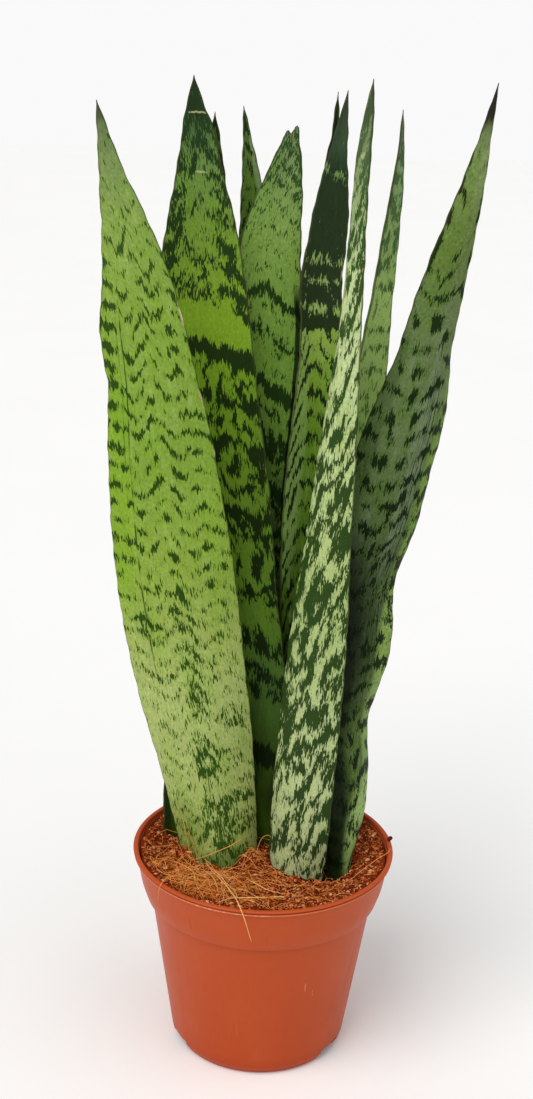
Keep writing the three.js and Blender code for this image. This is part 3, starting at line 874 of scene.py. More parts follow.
def leaf_material(name, leaf, look):
    sheet = BladeSheet(name, leaf["tip"], look["seed"])
    value = darkness(sheet, look)
    marks = sheet.step(value, -look["soft"], look["soft"])
    haze = sheet.step(value, -0.8, 0.1)

    ground = ground_colour(sheet, look, value)
    dark = sheet.bright(sheet.ramp(sheet.height, look["dark"]), sheet.grain(0.6, 4) * 0.3 + 1.0)
    colour = sheet.mix(haze * HAZE, ground, dark)
    colour = sheet.mix(marks * look["depth"], colour, dark)
    for lay in (lay_creases, lay_margins, lay_scars):
        colour = lay(sheet, look, colour)

    relief = sheet.grain(0.45, 50) * 0.5 + sheet.grain(1.3, 30) * 0.4 + sheet.grain(6, 5) * 0.9 - marks * 0.3
    roughness = sheet.grain(2.5, 9) * 0.05 + look["roughness"]
    return sheet.finish(colour, roughness, relief, depth=SKIN_DEPTH, specular=look["specular"])


print("haze round a mark:", HAZE, "relief of the skin in mm:", SKIN_DEPTH)

# %% [markdown]
# # The look of each leaf
# Young blades are pale and finely marked, old ones dark and heavily banded,
# and the two front blades show their silvery backs. Most numbers are sizes in millimetres.
# ground and dark: height and colour. vivid and pale: colours clouded over the ground.
# halo: how much of the vivid green lies round the marks.
# period and rows: the spacing and strength of the rows. blotches, blotch_size and detail: their
# strength, width and length, and fineness. lean: how far the blotches slant.
# comb, lobes and sway: how far the noises shift the edges of the marks.
# chevron: q and how far the rows drop there. fade: height and how strong the rows and blotches are.
# strand and freckles: the size of fine freckles, and height and their strength.
# cover: height and how readily the blade turns dark there. net: width, length, height and strength.
# bands: height, half height, strength, where less than 0 is a light band. band_bend: q and their drop.
# patches: q, reach, height, reach, more cover. tints: the same oval, amount, colour; some are painted shade
# and painted light.
# soft and depth: the blur of the marks and how fully they cover. speckle: light and dark dots.
# creases: q, from, to, strength of a dark line of painted shade. dried and shades: side, from, to,
# width of a strip along the margin; a shades strip is painted shade.
# scars: q, reach, height, half height. end: where the dry tip starts, and its colour.

# %% Describe the looks
LOOKS = {
    "leaf_front_left": {
        "seed": 3,
        "ground": [(76, "#aab868"), (100, "#a6b468"), (130, "#a4b26a"), (170, "#a6b46c"), (200, "#9aac5a"),
                   (230, "#89a242"), (285, "#7e9e3c"), (345, "#84a242"), (380, "#869f4f"), (405, "#758858"),
                   (424, "#555f44")],
        "vivid": "#789f24",
        "pale": "#a3b868",
        "strand": (0.42, 2.6),
        "dark": [(76, "#2c4c12"), (140, "#22440c"), (200, "#22420a"), (260, "#1e3c08"), (340, "#26420e"),
                 (400, "#3a5a24"), (424, "#36482a")],
        "period": 8.5, "rows": 0.95, "blotches": 2.05, "blotch_size": (4.4, 8.0), "halo": 0.35,
        "fade": [(76, 0.5), (150, 0.55), (190, 0.65), (240, 1.0), (350, 1.0), (424, 0.8)],
        "comb": 2.6, "lobes": 2.0, "sway": 2.4,
        "chevron": [(-1, 3), (-0.6, 5), (-0.42, 8), (-0.02, 0), (0.34, 8), (0.62, 5), (1, 9)],
        "cover": [(76, -0.85), (100, -0.95), (150, -1.12), (200, -1.1), (250, -0.85), (330, -0.85),
                  (375, -0.95), (392, -1.15), (424, -1.4)],
        "freckles": [(76, 2.8), (190, 2.6), (235, 1.4), (270, 1.0), (330, 1.0), (375, 1.4), (424, 1.4)],
        "bands": [(206, 1.4, 0.7), (187, 1.2, 0.45), (144, 1.2, 0.4), (122, 3, 0.35)],
        "patches": [(0.06, 0.24, 214, 15, 0.85), (0.08, 0.22, 192, 13, 0.9), (0.08, 0.26, 170, 14, 1.1),
                    (0.02, 0.32, 141, 16, 1.15), (0.05, 0.42, 112, 19, 1.1), (0.15, 0.5, 93, 11, 0.7),
                    (-0.5, 0.5, 104, 14, 0.4), (0.6, 0.4, 123, 5, 1.3), (0.6, 0.4, 108, 5, 1.4),
                    (0.62, 0.34, 160, 5, 1.2), (0.5, 0.3, 143, 4, 0.9), (-0.6, 0.3, 205, 6, 1.1),
                    (-1.0, 0.3, 320, 60, 0.7)],
        # The pale oval low on the right is painted light; the dull oval low on the left and the dark band at
        # the foot are painted shade.
        "tints": [(-0.85, 0.35, 270, 75, 0.7, "#7ea32a"), (0.75, 0.3, 260, 60, 0.3, "#80a538"),
                  (0.95, 0.45, 112, 40, 0.5, "#b8c872"), (-0.7, 0.55, 103, 24, 0.3, "#6a7a32"),
                  (0.2, 0.8, 91, 9, 0.55, "#33501c")],
        "creases": [(-0.57, 176, 352, 1.0), (-0.66, 250, 340, 0.5)],
        "dried": [(1, 336, 348, 1.2), (1, 301, 311, 1.0), (1, 280, 285, 0.9)],
        "speckle": 1.3,
        "end": (414, "#4c5240"),
    },
    "leaf_broad_left": {
        "seed": 11,
        # Low down the ground is near black: painted shade, where the blade stands behind its neighbours.
        "ground": [(76, "#1f2e12"), (110, "#253415"), (135, "#334816"), (150, "#3c5820"), (168, "#42612a"),
                   (200, "#587824"), (250, "#638425"), (300, "#6c9022"), (335, "#7b9e27"), (370, "#729136"),
                   (400, "#658442"), (414, "#486236"), (434, "#394731")],
        "vivid": "#679117",
        "dark": [(76, "#101c0a"), (160, "#0e1c06"), (200, "#0d1c04"), (310, "#12220a"), (345, "#1a2e12"),
                 (400, "#1e3416"), (414, "#223a1c"), (434, "#20301a")],
        "period": 9.5, "rows": 0.35, "blotches": 1.5, "blotch_size": (5.2, 6.5), "detail": 1.5,
        "net": (9.0, 10.0, [(76, 0.2), (185, 0.3), (205, 0.9), (308, 0.9), (320, 0.0), (345, 0.0), (352, 0.5),
                          (400, 0.4), (434, 0.0)]),
        "fade": [(76, 1.0), (342, 1.0), (354, 1.25), (408, 1.25), (434, 1.0)],
        "comb": 3.2, "lobes": 3.2, "sway": 4.0,
        "chevron": [(-1, 4), (-0.1, 0), (0.4, 4), (1, 9)],
        "cover": [(76, -0.9), (130, -1.1), (160, -1.2), (200, -0.1), (240, 0.1), (262, 0.0),
                  (300, -0.05), (318, -0.3), (332, -1.2), (350, -0.45), (380, -0.4), (400, -0.15),
                  (412, 0.3), (434, 1.2)],
        "strand": (0.45, 2.4),
        "freckles": [(76, 0.5), (160, 0.7), (190, 1.1), (300, 1.1), (325, 0.9), (350, 1.9),
                     (400, 2.0), (420, 1.6), (434, 0.8)],
        "bands": [(142, 5, 2.0), (158, 5, -1.5), (176, 9, 1.2), (194, 3.5, 1.1), (206, 5, -0.6),
                  (252, 5, 0.6), (282, 4, 0.5), (293, 3, -0.5), (307, 3.4, 0.4), (323.5, 3.4, 2.6),
                  (334.5, 5.2, -2.4), (346, 2.6, 0.9), (353, 2.6, 0.4), (366, 2.2, 0.4)],
        "patches": [(-1.0, 0.6, 372, 44, 0.6), (1.0, 0.6, 372, 52, 0.7), (0.95, 0.3, 250, 60, 0.3)],
        "tints": [(0.95, 0.35, 240, 90, 0.3, "#3d5a1e"), (-0.7, 0.4, 285, 36, 0.5, "#7c964a")],
        "scars": [(0.1, 0.85, 419.5, 0.32), (0.08, 0.25, 395.7, 0.3)],
        "end": (429, "#3b3628"),
    },
    "leaf_hidden_left": {
        "seed": 19,
        "ground": [(76, "#202f0e"), (250, "#344c19"), (400, "#354c21"), (419, "#29341e")],
        "vivid": "#5a8024",
        "dark": [(76, "#0d1a07"), (419, "#101d0b")],
        "cover": [(76, -0.2), (300, -0.3), (400, 0.0), (419, 0.6)],
        "chevron": [(-1, 8), (0, 0), (1, 8)],
    },
    "leaf_back_left": {
        "seed": 23,
        "ground": [(76, "#293d15"), (250, "#466324"), (380, "#56742c"), (405, "#4e6630"), (422, "#3e4a30")],
        "vivid": "#66902a",
        "dark": [(76, "#12210a"), (422, "#192911")],
        "cover": [(76, -0.2), (300, -0.4), (385, -0.55), (405, -0.2), (422, 0.7)],
        "chevron": [(-1, 8), (0, 0), (1, 8)],
        "tints": [(0.9, 0.6, 385, 45, 0.9, "#7f9263")],
        "patches": [(0.9, 0.6, 385, 45, -0.6)],
        "freckles": [(76, 0.8), (360, 1.2), (422, 1.2)],
    },
    "leaf_broken_tip": {
        "seed": 29,
        "ground": [(76, "#354a1b"), (180, "#4f6b29"), (250, "#648836"), (320, "#759b3c"), (355, "#7e9f48"),
                   (375, "#81a050"), (395, "#7c9658"), (416, "#6f8356")],
        "vivid": "#739c2c",
        "dark": [(76, "#14260a"), (340, "#16300c"), (380, "#2a4a1a"), (416, "#2e4a24")],
        "period": 8.5, "rows": 0.5, "blotches": 1.4, "blotch_size": (2.4, 3.4),
        "net": (6.4, 11.0, [(76, 0.8), (280, 0.8), (300, 0.3), (340, 0.3), (352, 0.0), (416, 0.0)]),
        "comb": 3.0, "lobes": 3.0, "sway": 4.0,
        "chevron": [(-1, 12), (-0.2, 0), (0.3, 4), (1, 11)],
        "cover": [(76, -0.2), (200, 0.0), (290, -0.3), (310, -0.7), (340, -0.75), (352, -0.95),
                  (378, -0.75), (396, -0.1), (408, 0.15), (416, 0.4)],
        "freckles": [(76, 0.8), (340, 0.9), (356, 1.8), (380, 2.0), (416, 2.2)],
        "bands": [(346, 2.0, 2.0), (328, 1.6, 1.6), (307, 2.8, 2.0), (285, 2.6, 1.3), (263, 3, 1.2)],
        "patches": [(1.0, 0.5, 385, 40, 0.35)],
        # A near-black strip of painted shade along the right margin, where the blade passes into the shade
        # behind leaf_dark.
        "shades": [(1, 236, 352, 3.3)],
        "speckle": 1.3,
        "end": (412.5, "#5a6444"),
    },
    "leaf_dark": {
        "seed": 37,
        "ground": [(76, "#22350e"), (130, "#354e19"), (200, "#4b6923"), (260, "#587c23"), (300, "#6c9124"),
                   (333, "#8ca848"), (341, "#8ea85e"), (398, "#668348"), (405, "#495f46"), (430, "#3f4a40")],
        "vivid": "#658d1b",
        "pale": "#8aa45c",
        "dark": [(76, "#0a1408"), (330, "#0f1e0a"), (398, "#1c2c18"), (408, "#33482f"), (430, "#33402f")],
        "period": 10.5, "rows": 0.9, "blotches": 1.8, "blotch_size": (3.2, 7.0),
        "comb": 3.4, "lobes": 3.0, "sway": 3.0,
        "chevron": [(-1, 18), (-0.15, 0), (0.5, 7), (1, 14)],
        "band_bend": [(-1, -1), (1, 2)],
        "cover": [(76, -0.4), (200, -0.5), (305, -0.6), (318, -0.5), (329, -0.75), (333, 1.7), (380, 2.1),
                  (430, 2.2)],
        "freckles": [(76, 1.0), (305, 1.0), (318, 1.6), (330, 1.5), (345, 2.2), (366, 2.2),
                     (380, 1.5), (430, 1.5)],
        "bands": [(361, 1.1, -2.6), (353, 1.0, -2.2), (341, 1.4, -2.3), (397, 1.5, -2.6)],
        "tints": [(-0.85, 0.6, 280, 70, 0.7, "#86a25a")],
        "dried": [(-1, 396, 402, 0.6), (1, 352, 358, 0.6)],
        "roughness": 0.45,
        "specular": 0.1,
    },
    "leaf_behind_dark": {
        "seed": 41,
        "ground": [(76, "#243512"), (300, "#395121"), (429, "#394a2e")],
        "vivid": "#4c6c28",
        "dark": [(76, "#0d1907"), (429, "#141f0e")],
        "cover": [(76, 0.0), (380, 0.3), (410, 1.0), (429, 1.4)],
        "chevron": [(-1, 8), (0, 0), (1, 8)],
    },
    "leaf_front_narrow": {
        "seed": 47,
        "ground": [(76, "#aebe85"), (100, "#b8c58d"), (200, "#a8b97a"), (250, "#acbe7a"), (310, "#bdce91"),
                   (360, "#becd94"), (385, "#96a972"), (410, "#77875b"), (435, "#6e7654")],
        "vivid": "#98b062",
        "dark": [(76, "#183408"), (300, "#1a3a08"), (370, "#244810"), (410, "#46603a"), (435, "#3c4a34")],
        "period": 11, "rows": 0.25, "blotches": 2.9, "blotch_size": (4.2, 8.0), "lean": 0.1, "detail": 2.0,
        "comb": 4.4, "lobes": 4.0, "sway": 4.0,
        "chevron": [(-1, 9), (0, 2), (1, -14)],
        "cover": [(76, -0.3), (110, -0.15), (150, 0.15), (200, 0.12), (240, 0.2), (262, 0.13),
                  (285, -0.1), (310, -0.12), (340, -0.25), (372, -0.1), (400, 0.25), (415, 0.6),
                  (425, 1.2), (435, 1.5)],
        "strand": (0.45, 2.4),
        "freckles": [(76, 1.15), (300, 1.15), (360, 1.5), (435, 1.8)],
        "patches": [(0.95, 0.35, 110, 40, 0.3), (-0.95, 0.2, 150, 100, 0.3)],
        "scars": [(0.0, 0.3, 407, 1.0)],
        "speckle": 1.3,
        "end": (429, "#4a4030"),
    },
    "leaf_back_right": {
        "seed": 53,
        "ground": [(76, "#587232"), (250, "#84a34e"), (345, "#9cba68"), (368, "#86a25e"), (400, "#76906a"),
                   (423, "#5d6c4c")],
        "vivid": "#88ac4c",
        "dark": [(76, "#243d18"), (300, "#34561f"), (360, "#3e5c2c"), (423, "#46603a")],
        "period": 9.0, "rows": 0.3, "blotches": 2.2, "blotch_size": (3.2, 4.6), "soft": 0.18, "depth": 0.9,
        "comb": 2.6, "lobes": 2.0, "sway": 2.0,
        "chevron": [(-1, 2), (0, 0), (1, 3)],
        "cover": [(76, 0.0), (300, -0.55), (345, -0.5), (360, -0.1), (385, 0.1), (405, -0.1), (423, -0.2)],
        "freckles": [(76, 1.1), (423, 1.2)],
    },
    "leaf_front_right": {
        "seed": 59,
        "ground": [(76, "#485e2a"), (120, "#5a7434"), (165, "#48582e"), (220, "#424f34"), (260, "#566840"),
                   (300, "#64764a"), (345, "#66764c"), (370, "#64763f"), (395, "#768a50"), (410, "#829462"),
                   (424, "#5a6238"), (435, "#30281c")],
        "vivid": "#4c6c24",
        "pale": "#72825e",
        "dark": [(76, "#0a1804"), (240, "#081402"), (360, "#142808"), (435, "#2a2218")],
        "period": 10.0, "rows": 0.8, "blotches": 2.9, "blotch_size": (4.6, 7.4), "detail": 1.5, "halo": 0.6,
        "comb": 3.2, "lobes": 2.4, "sway": 3.0,
        "fade": [(76, 0.9), (235, 0.85), (275, 1.0), (435, 1.0)],
        "chevron": [(-1, -6), (-0.5, -2), (-0.12, 0), (0.3, -3), (0.5, -5), (1, -4)],
        "cover": [(76, -0.3), (150, -0.35), (235, -0.5), (290, -0.75), (335, -0.9), (356, -1.15),
                  (375, -1.6), (421, -1.8), (425, 1.2), (435, 2.0)],
        "freckles": [(76, 1.6), (235, 1.7), (280, 1.0), (435, 0.9)],
        # Painted shade: the two near-black ovals on the left, and the darker one above them, where
        # leaf_front_narrow shades this blade. Painted light: the bright ovals along the right, on the strip
        # that catches the light.
        "tints": [(-1.0, 1.7, 195, 66, 0.92, "#12180f"), (-1.0, 1.15, 112, 62, 0.92, "#0e140c"),
                  (-0.95, 0.45, 290, 60, 0.5, "#2c4416"),
                  (0.35, 0.28, 285, 70, 0.4, "#76866a"), (-0.3, 0.7, 375, 50, 0.4, "#5c7c28"),
                  (0.94, 0.34, 262, 66, 0.8, "#6e9030"), (0.98, 0.4, 195, 36, 0.9, "#84a250"),
                  (0.92, 0.5, 140, 50, 0.9, "#809e58"),
                  (0.75, 1.1, 98, 42, 0.95, "#94b268")],
        "patches": [(1.0, 0.3, 385, 50, 1.5), (-1.0, 0.3, 388, 46, 1.3), (-0.05, 0.3, 352, 26, 0.5),
                    (0.95, 0.3, 255, 60, 0.5)],
        "creases": [(0.47, 170, 345, 0.9), (0.36, 165, 330, 0.7), (0.56, 180, 335, 0.8),
                    (0.42, 160, 340, 0.6), (0.3, 190, 320, 0.5)],
        "speckle": 1.7,
        "end": (417, "#2e2b20"),
    },
}

print("looks:", len(LOOKS))

# %% [markdown]
# # Ten blades
# Each blade takes its shape from one list and its look from the other, and stands for one solid.

# %% Make the ten blades
LEAF_SLOTS = {
    "leaf_front_left": "leaf_light", "leaf_back_right": "leaf_light", "leaf_broad_left": "leaf_vivid",
    "leaf_broken_tip": "leaf_vivid", "leaf_front_narrow": "leaf_pale", "leaf_front_right": "leaf_pale",
}
for name, leaf in LEAVES.items():
    look = {**PLAIN_LOOK, **LOOKS[name]}
    piece_name = name.replace("leaf", "blade")
    mesh = blade_mesh(piece_name, leaf, look["seed"])
    material = leaf_material("marks_of_" + piece_name, leaf, look)
    new_object(piece_name, mesh, material, LEAF_SLOTS.get(name, "leaf_dark"), name)
    print(piece_name, "triangles:", sum(len(face.vertices) - 2 for face in mesh.polygons))

# %% [markdown]
# # The pot
# A nursery pot is moulded in one piece from thin plastic, so it is a turned shape:
# a profile is spun round the axis in fine steps. Its corners aren't sharp, so each one is rounded first.
# The drain holes and the three cuts in its foot are then taken out with a Boolean,
# which leaves the same thin wall round them as the real mould does.

# %% Describe the pot
POT_HEIGHT = 96.4
RIM_RADIUS = 59.8
COLLAR_FOOT_LEVEL = 73.5
COLLAR_LINE = ((COLLAR_FOOT_LEVEL, 53.4), (80.5, 55.8), (93.6, 58.2))
LIP_LEVEL = 93.9
GROOVE_DEPTH = 0.9
WALL_TOP_RADIUS = 51.3
WALL_FOOT_RADIUS = 41.4
WALL_FOOT_LEVEL = 8.0
FOOT_RADIUS = 38.7
WALL = 1.2
FLOOR_THICKNESS = 1.6
DRAIN_HOLES = 8
DRAIN_RADIUS = 3.5
DRAIN_RING_RADIUS = 27.0
DRAIN_SIDES = 32
CORNER_CUTS = (57, 177, 297)
CORNER_CUT_SIZE = (14.0, 9.0, 11.0)
POT_STEPS = 256


def wall_radius(height):
    share = (height - WALL_FOOT_LEVEL) / (COLLAR_FOOT_LEVEL - WALL_FOOT_LEVEL)
    return WALL_FOOT_RADIUS + (WALL_TOP_RADIUS - WALL_FOOT_RADIUS) * share


def collar_radius(height):
    heights, radii = zip(*COLLAR_LINE)
    return float(np.interp(height, heights, radii))


# Each corner of the profile is (radius, height, how far the rounding reaches along both sides).
POT_PROFILE = [
    (0, 0, 0),
    (FOOT_RADIUS - 0.6, 0, 0.3),
    (FOOT_RADIUS, 0.6, 0.3),
    (WALL_FOOT_RADIUS - 0.6, 4, 0.6),
    (WALL_FOOT_RADIUS, WALL_FOOT_LEVEL, 1.5),
    (WALL_TOP_RADIUS, COLLAR_FOOT_LEVEL, 0.5),
    (COLLAR_LINE[0][1], COLLAR_LINE[0][0], 0.7),
    (COLLAR_LINE[1][1], COLLAR_LINE[1][0], 3.0),
    (COLLAR_LINE[2][1], COLLAR_LINE[2][0], 0.2),
    (RIM_RADIUS - 0.5, LIP_LEVEL, 0.2),
    (RIM_RADIUS - 0.2, LIP_LEVEL + 0.4, 0.25),
    (RIM_RADIUS - GROOVE_DEPTH, LIP_LEVEL + 1.1, 0.3),
    (RIM_RADIUS, LIP_LEVEL + 1.8, 0.3),
    (RIM_RADIUS, POT_HEIGHT - 0.4, 0.25),
    (RIM_RADIUS - 0.6, POT_HEIGHT, 0.3),
    (RIM_RADIUS - 1.9, POT_HEIGHT, 0.3),
    (RIM_RADIUS - 2.3, POT_HEIGHT - 0.5, 0.3),
    (COLLAR_LINE[2][1] - WALL, COLLAR_LINE[2][0], 0.5),
    (COLLAR_LINE[1][1] - WALL, COLLAR_LINE[1][0], 3.0),
    (collar_radius(COLLAR_FOOT_LEVEL + WALL) - WALL, COLLAR_FOOT_LEVEL + WALL, 0.4),
    (wall_radius(COLLAR_FOOT_LEVEL + WALL) - WALL, COLLAR_FOOT_LEVEL + WALL, 0.3),
    (WALL_FOOT_RADIUS - WALL, WALL_FOOT_LEVEL, 1.0),
    (FOOT_RADIUS - WALL, FLOOR_THICKNESS, 0.5),
    (0, FLOOR_THICKNESS, 0),
]
print("corners of the pot's profile:", len(POT_PROFILE))

# %% Turn a profile round the axis
def rounded(profile, steps=4):
    """The profile with its corners rounded."""
    line = []
    for k, (radius, height, reach) in enumerate(profile):
        if not reach:
            line.append((radius, height))
            continue
        corner = Vector((radius, height))
        before = Vector(profile[k - 1][:2]) - corner
        after = Vector(profile[k + 1][:2]) - corner
        start = corner + before.normalized() * min(reach, before.length * 0.45)
        end = corner + after.normalized() * min(reach, after.length * 0.45)
        for step in range(steps + 1):
            t = step / steps
            line.append(tuple(start.lerp(corner, t).lerp(corner.lerp(end, t), t)))
    return line


def turned_mesh(name, line, steps):
    """A closed mesh from a line of (radius, height) that starts and ends on the axis."""
    verts, rings = [], []
    for radius, height in line:
        if radius < 1e-6:
            rings.append([len(verts)])
            verts.append((0, 0, height * MM))
            continue
        rings.append(list(range(len(verts), len(verts) + steps)))
        for k in range(steps):
            angle = 2 * math.pi * k / steps
            verts.append((radius * MM * math.cos(angle), radius * MM * math.sin(angle), height * MM))
    faces = []
    for inner, outer in zip(rings, rings[1:]):
        for k in range(steps):
            one, two = k % len(inner), (k + 1) % len(inner)
            three, four = (k + 1) % len(outer), k % len(outer)
            face = [inner[one], inner[two], outer[three], outer[four]]
            faces.append(list(dict.fromkeys(face)))
    mesh = bpy.data.meshes.new(name)
    mesh.from_pydata(verts, [], faces)
    return mesh


print("places along the rounded profile:", len(rounded(POT_PROFILE)))

# %% Cut one body out of another
def add_box(shape, size, place, turn):
    made = bmesh.ops.create_cube(shape, size=1.0)["verts"]
    bmesh.ops.scale(shape, vec=Vector(size) * MM, verts=made)
    bmesh.ops.translate(shape, vec=Vector(place) * MM, verts=made)
    bmesh.ops.rotate(shape, cent=(0, 0, 0), matrix=Matrix.Rotation(turn, 3, "Z"), verts=made)


def cut_away(mesh, cutter):
    """The mesh without what the cutter covers."""
    whole = bpy.data.objects.new("whole", mesh)
    tool = bpy.data.objects.new("tool", cutter)
    for thing in (whole, tool):
        bpy.context.scene.collection.objects.link(thing)
    taken = whole.modifiers.new("cut", "BOOLEAN")
    taken.operation = "DIFFERENCE"
    taken.solver = "EXACT"
    taken.object = tool
    ready = whole.evaluated_get(bpy.context.evaluated_depsgraph_get())
    result = bpy.data.meshes.new_from_object(ready)
    for thing in (whole, tool):
        bpy.data.objects.remove(thing)
    return result


def facing_out(mesh):
    shape = bmesh.new()
    shape.from_mesh(mesh)
    bmesh.ops.recalc_face_normals(shape, faces=shape.faces)
    shape.to_mesh(mesh)
    shape.free()


print("openings to cut:", DRAIN_HOLES + len(CORNER_CUTS))

# %% Turn the pot and cut its openings
SHARP_FROM = math.radians(40)

pot_mesh = turned_mesh("pot_shell", rounded(POT_PROFILE), POT_STEPS)
facing_out(pot_mesh)
shape = bmesh.new()
for k in range(DRAIN_HOLES):
    angle = 2 * math.pi * (k + 0.5) / DRAIN_HOLES
    x, y = DRAIN_RING_RADIUS * math.cos(angle), DRAIN_RING_RADIUS * math.sin(angle)
    middle = Matrix.Translation(Vector((x, y, FLOOR_THICKNESS / 2)) * MM)
    bmesh.ops.create_cone(shape, cap_ends=True, segments=DRAIN_SIDES, radius1=DRAIN_RADIUS * MM,
                          radius2=DRAIN_RADIUS * MM, depth=4 * FLOOR_THICKNESS * MM, matrix=middle)
for degrees in CORNER_CUTS:
    add_box(shape, CORNER_CUT_SIZE, (0, -WALL_FOOT_RADIUS, 0), math.radians(degrees))
cutter_mesh = bpy.data.meshes.new("pot_cutter")
shape.to_mesh(cutter_mesh)
shape.free()
pot_mesh = cut_away(pot_mesh, cutter_mesh)
pot_mesh.set_sharp_from_angle(angle=SHARP_FROM)
print("pot faces:", len(pot_mesh.polygons))

# %% [markdown]
# # Terracotta-coloured plastic
# The plastic is satin, a little hazy where it has been handled, with faint upright drag marks
# from the mould. The lower ridge of the lip carries a painted highlight, with pale worn flash over it
# towards the front, and the groove above it is darkened with painted shade.
# All of it depends on height and on the way round, so the material works those out from the place.

# %% Finish the pot
# Small marks of use: degrees round from the front towards +X, from and to height, half width, strength.
POT_MARKS = [
    (-33, 77, 86, 0.6, 0.35, "#6e2a10"),
    (3, 76, 83, 0.35, 0.3, "#7c3214"),
    (26, 46, 52, 0.5, 0.5, "#dd9574"),
    (31, 42, 47, 0.4, 0.4, "#dd9574"),
    (-12, 20, 30, 0.4, 0.25, "#cf7d5c"),
    (110, 30, 55, 0.5, 0.35, "#dd9574"),
    (200, 60, 70, 0.5, 0.35, "#7c3214"),
]
RIDGE_LEVEL = LIP_LEVEL + 0.4
GROOVE_LEVEL = LIP_LEVEL + 1.15
GROOVE_FLOOR, GROOVE_MOUTH = 58.3, 58.7
WORN_FROM_FRONT = 14


def pot_material():
    sheet = Surface("terracotta_plastic")
    where = sheet.place()
    x, y, height = sheet.split(where)
    around = sheet.math("ARCTAN2", x, y * -1.0) * (180 / math.pi)

    def grain(width, length, detail=1.0):
        return sheet.noise(sheet.vector(x / width, y / width, height / length), detail)

    cloud = grain(24, 30, 2.0)
    drag = grain(0.9, 40)
    speck = grain(1.1, 1.3)
    # The plastic is a little darker towards the bottom.
    colour = sheet.ramp(height, [(0, "#a93e16"), (10, "#b24619"), (60, "#b84b20"), (POT_HEIGHT, "#ba4f24")])
    colour = sheet.mix(sheet.step(cloud, 0.0, 1.0) * 0.3, colour, "#c05a34")
    colour = sheet.bright(colour, drag * 0.025 + speck * 0.012 + cloud * 0.02 + 1.0)

    ridge = sheet.step(sheet.math("ABSOLUTE", height - RIDGE_LEVEL), 0.5, 0.15)
    handled = sheet.step(sheet.math("ABSOLUTE", around + WORN_FROM_FRONT), 30, 8)
    worn = sheet.step(grain(1.6, 3) + handled * 0.5, 0.3, 1.0)
    # The ridge gets a painted highlight of brighter orange, all round the pot.
    colour = sheet.mix(ridge * 0.6, colour, "#e08250")
    colour = sheet.mix(ridge * worn * 0.6, colour, "#f0b48e")
    # Painted shade darkens the groove, on the outside of the pot only.
    groove = sheet.step(sheet.math("ABSOLUTE", height - GROOVE_LEVEL), 0.55, 0.2)
    outside = sheet.step(x * x + y * y, GROOVE_FLOOR ** 2, GROOVE_MOUTH ** 2)
    colour = sheet.mix(groove * outside * 0.6, colour, "#7a2206")

    for at, low, high, width, amount, code in POT_MARKS:
        slanted = around - at + (height - low) * 0.05 + grain(3, 4) * 0.35
        line = sheet.step(sheet.math("ABSOLUTE", slanted), width, width * 0.3)
        line = line * sheet.step(height, low, low + 1.5) * sheet.step(height, high, high - 1.5)
        colour = sheet.mix(line * sheet.step(grain(0.6, 2), -0.6, 0.3) * amount, colour, code)

    relief = drag * 0.35 + speck * 0.25 + cloud * 1.5
    roughness = grain(5, 30) * 0.05 + 0.42
    return sheet.finish(colour, roughness, relief, depth=0.05, specular=0.14)


new_object("pot_shell", pot_mesh, pot_material(), "pot_plastic", "pot")
print("marks of use on the pot:", len(POT_MARKS))

# %% [markdown]
# # The coir
# Coir is ground coconut husk: dark crumbs, coarser chips and long curly fibres.
# It could be a bumpy lid with a picture of coir on it, but the rim shows it from close by and at a slant.
# So it has three layers that are real geometry. First comes the bed, which fills the pot
# and whose top is raised by noises of three sizes. Each leaf's foot stands in a hole of its own.

# %% Describe the coir bed
SOIL_LEVEL = 90.0
SOIL_EDGE_RISE = 4.0
SOIL_CLODS = 0.66
CLEARANCE = 0.3
BED_RADIUS = 56.6
BED_RINGS = 130
BED_STEPS = 300
# Heaps and dips round the feet of the leaves: x, y, height, spread.
SOIL_MOUNDS = [
    (-22, -30, 1.2, 22), (-37, -5, 4.5, 6), (-5, -7, 3.5, 7), (-17, -14, -3, 6), (31, -14, -4.8, 10),
]


def bed_level(x, y):
    """The mean height of the coir: a rise to the rim, heaps and dips, and clods."""
    level = SOIL_LEVEL + SOIL_EDGE_RISE * float(smooth_step(math.hypot(x, y), 34, 55))
    for middle_x, middle_y, height, spread in SOIL_MOUNDS:
        level += height * math.exp(-((x - middle_x) ** 2 + (y - middle_y) ** 2) / spread ** 2)
    clods = math.sin(0.31 * x + 1.3) * math.sin(0.37 * y + 0.4) + 0.6 * math.sin(0.19 * x - 0.43 * y)
    return level + SOIL_CLODS * clods


def crumbly(x, y):
    """How far the surface stands above its mean height, from crumbs of three sizes."""
    coarse = noise.noise(Vector((x / 4.6, y / 4.6, 3.0)))
    middle = 0.35 - abs(noise.noise(Vector((x / 2.1, y / 2.1, 11.0))))
    fine = noise.noise(Vector((x / 0.9, y / 0.9, 23.0)))
    return 1.5 * coarse + 1.7 * middle + 0.5 * fine


def bed_surface(x, y):
    """The top of the bed, whose crumbs lie flatter next to the pot."""
    settled = 1 - 0.75 * float(smooth_step(math.hypot(x, y), 50, BED_RADIUS))
    return bed_level(x, y) + crumbly(x, y) * settled


print("coir in the middle, in mm:", round(bed_surface(0, 0), 2))

# %% Shape the feet of the leaves, to cut with
FOOT_STRIPS = 12
FOOT_LEVELS = (84, 92, 98)


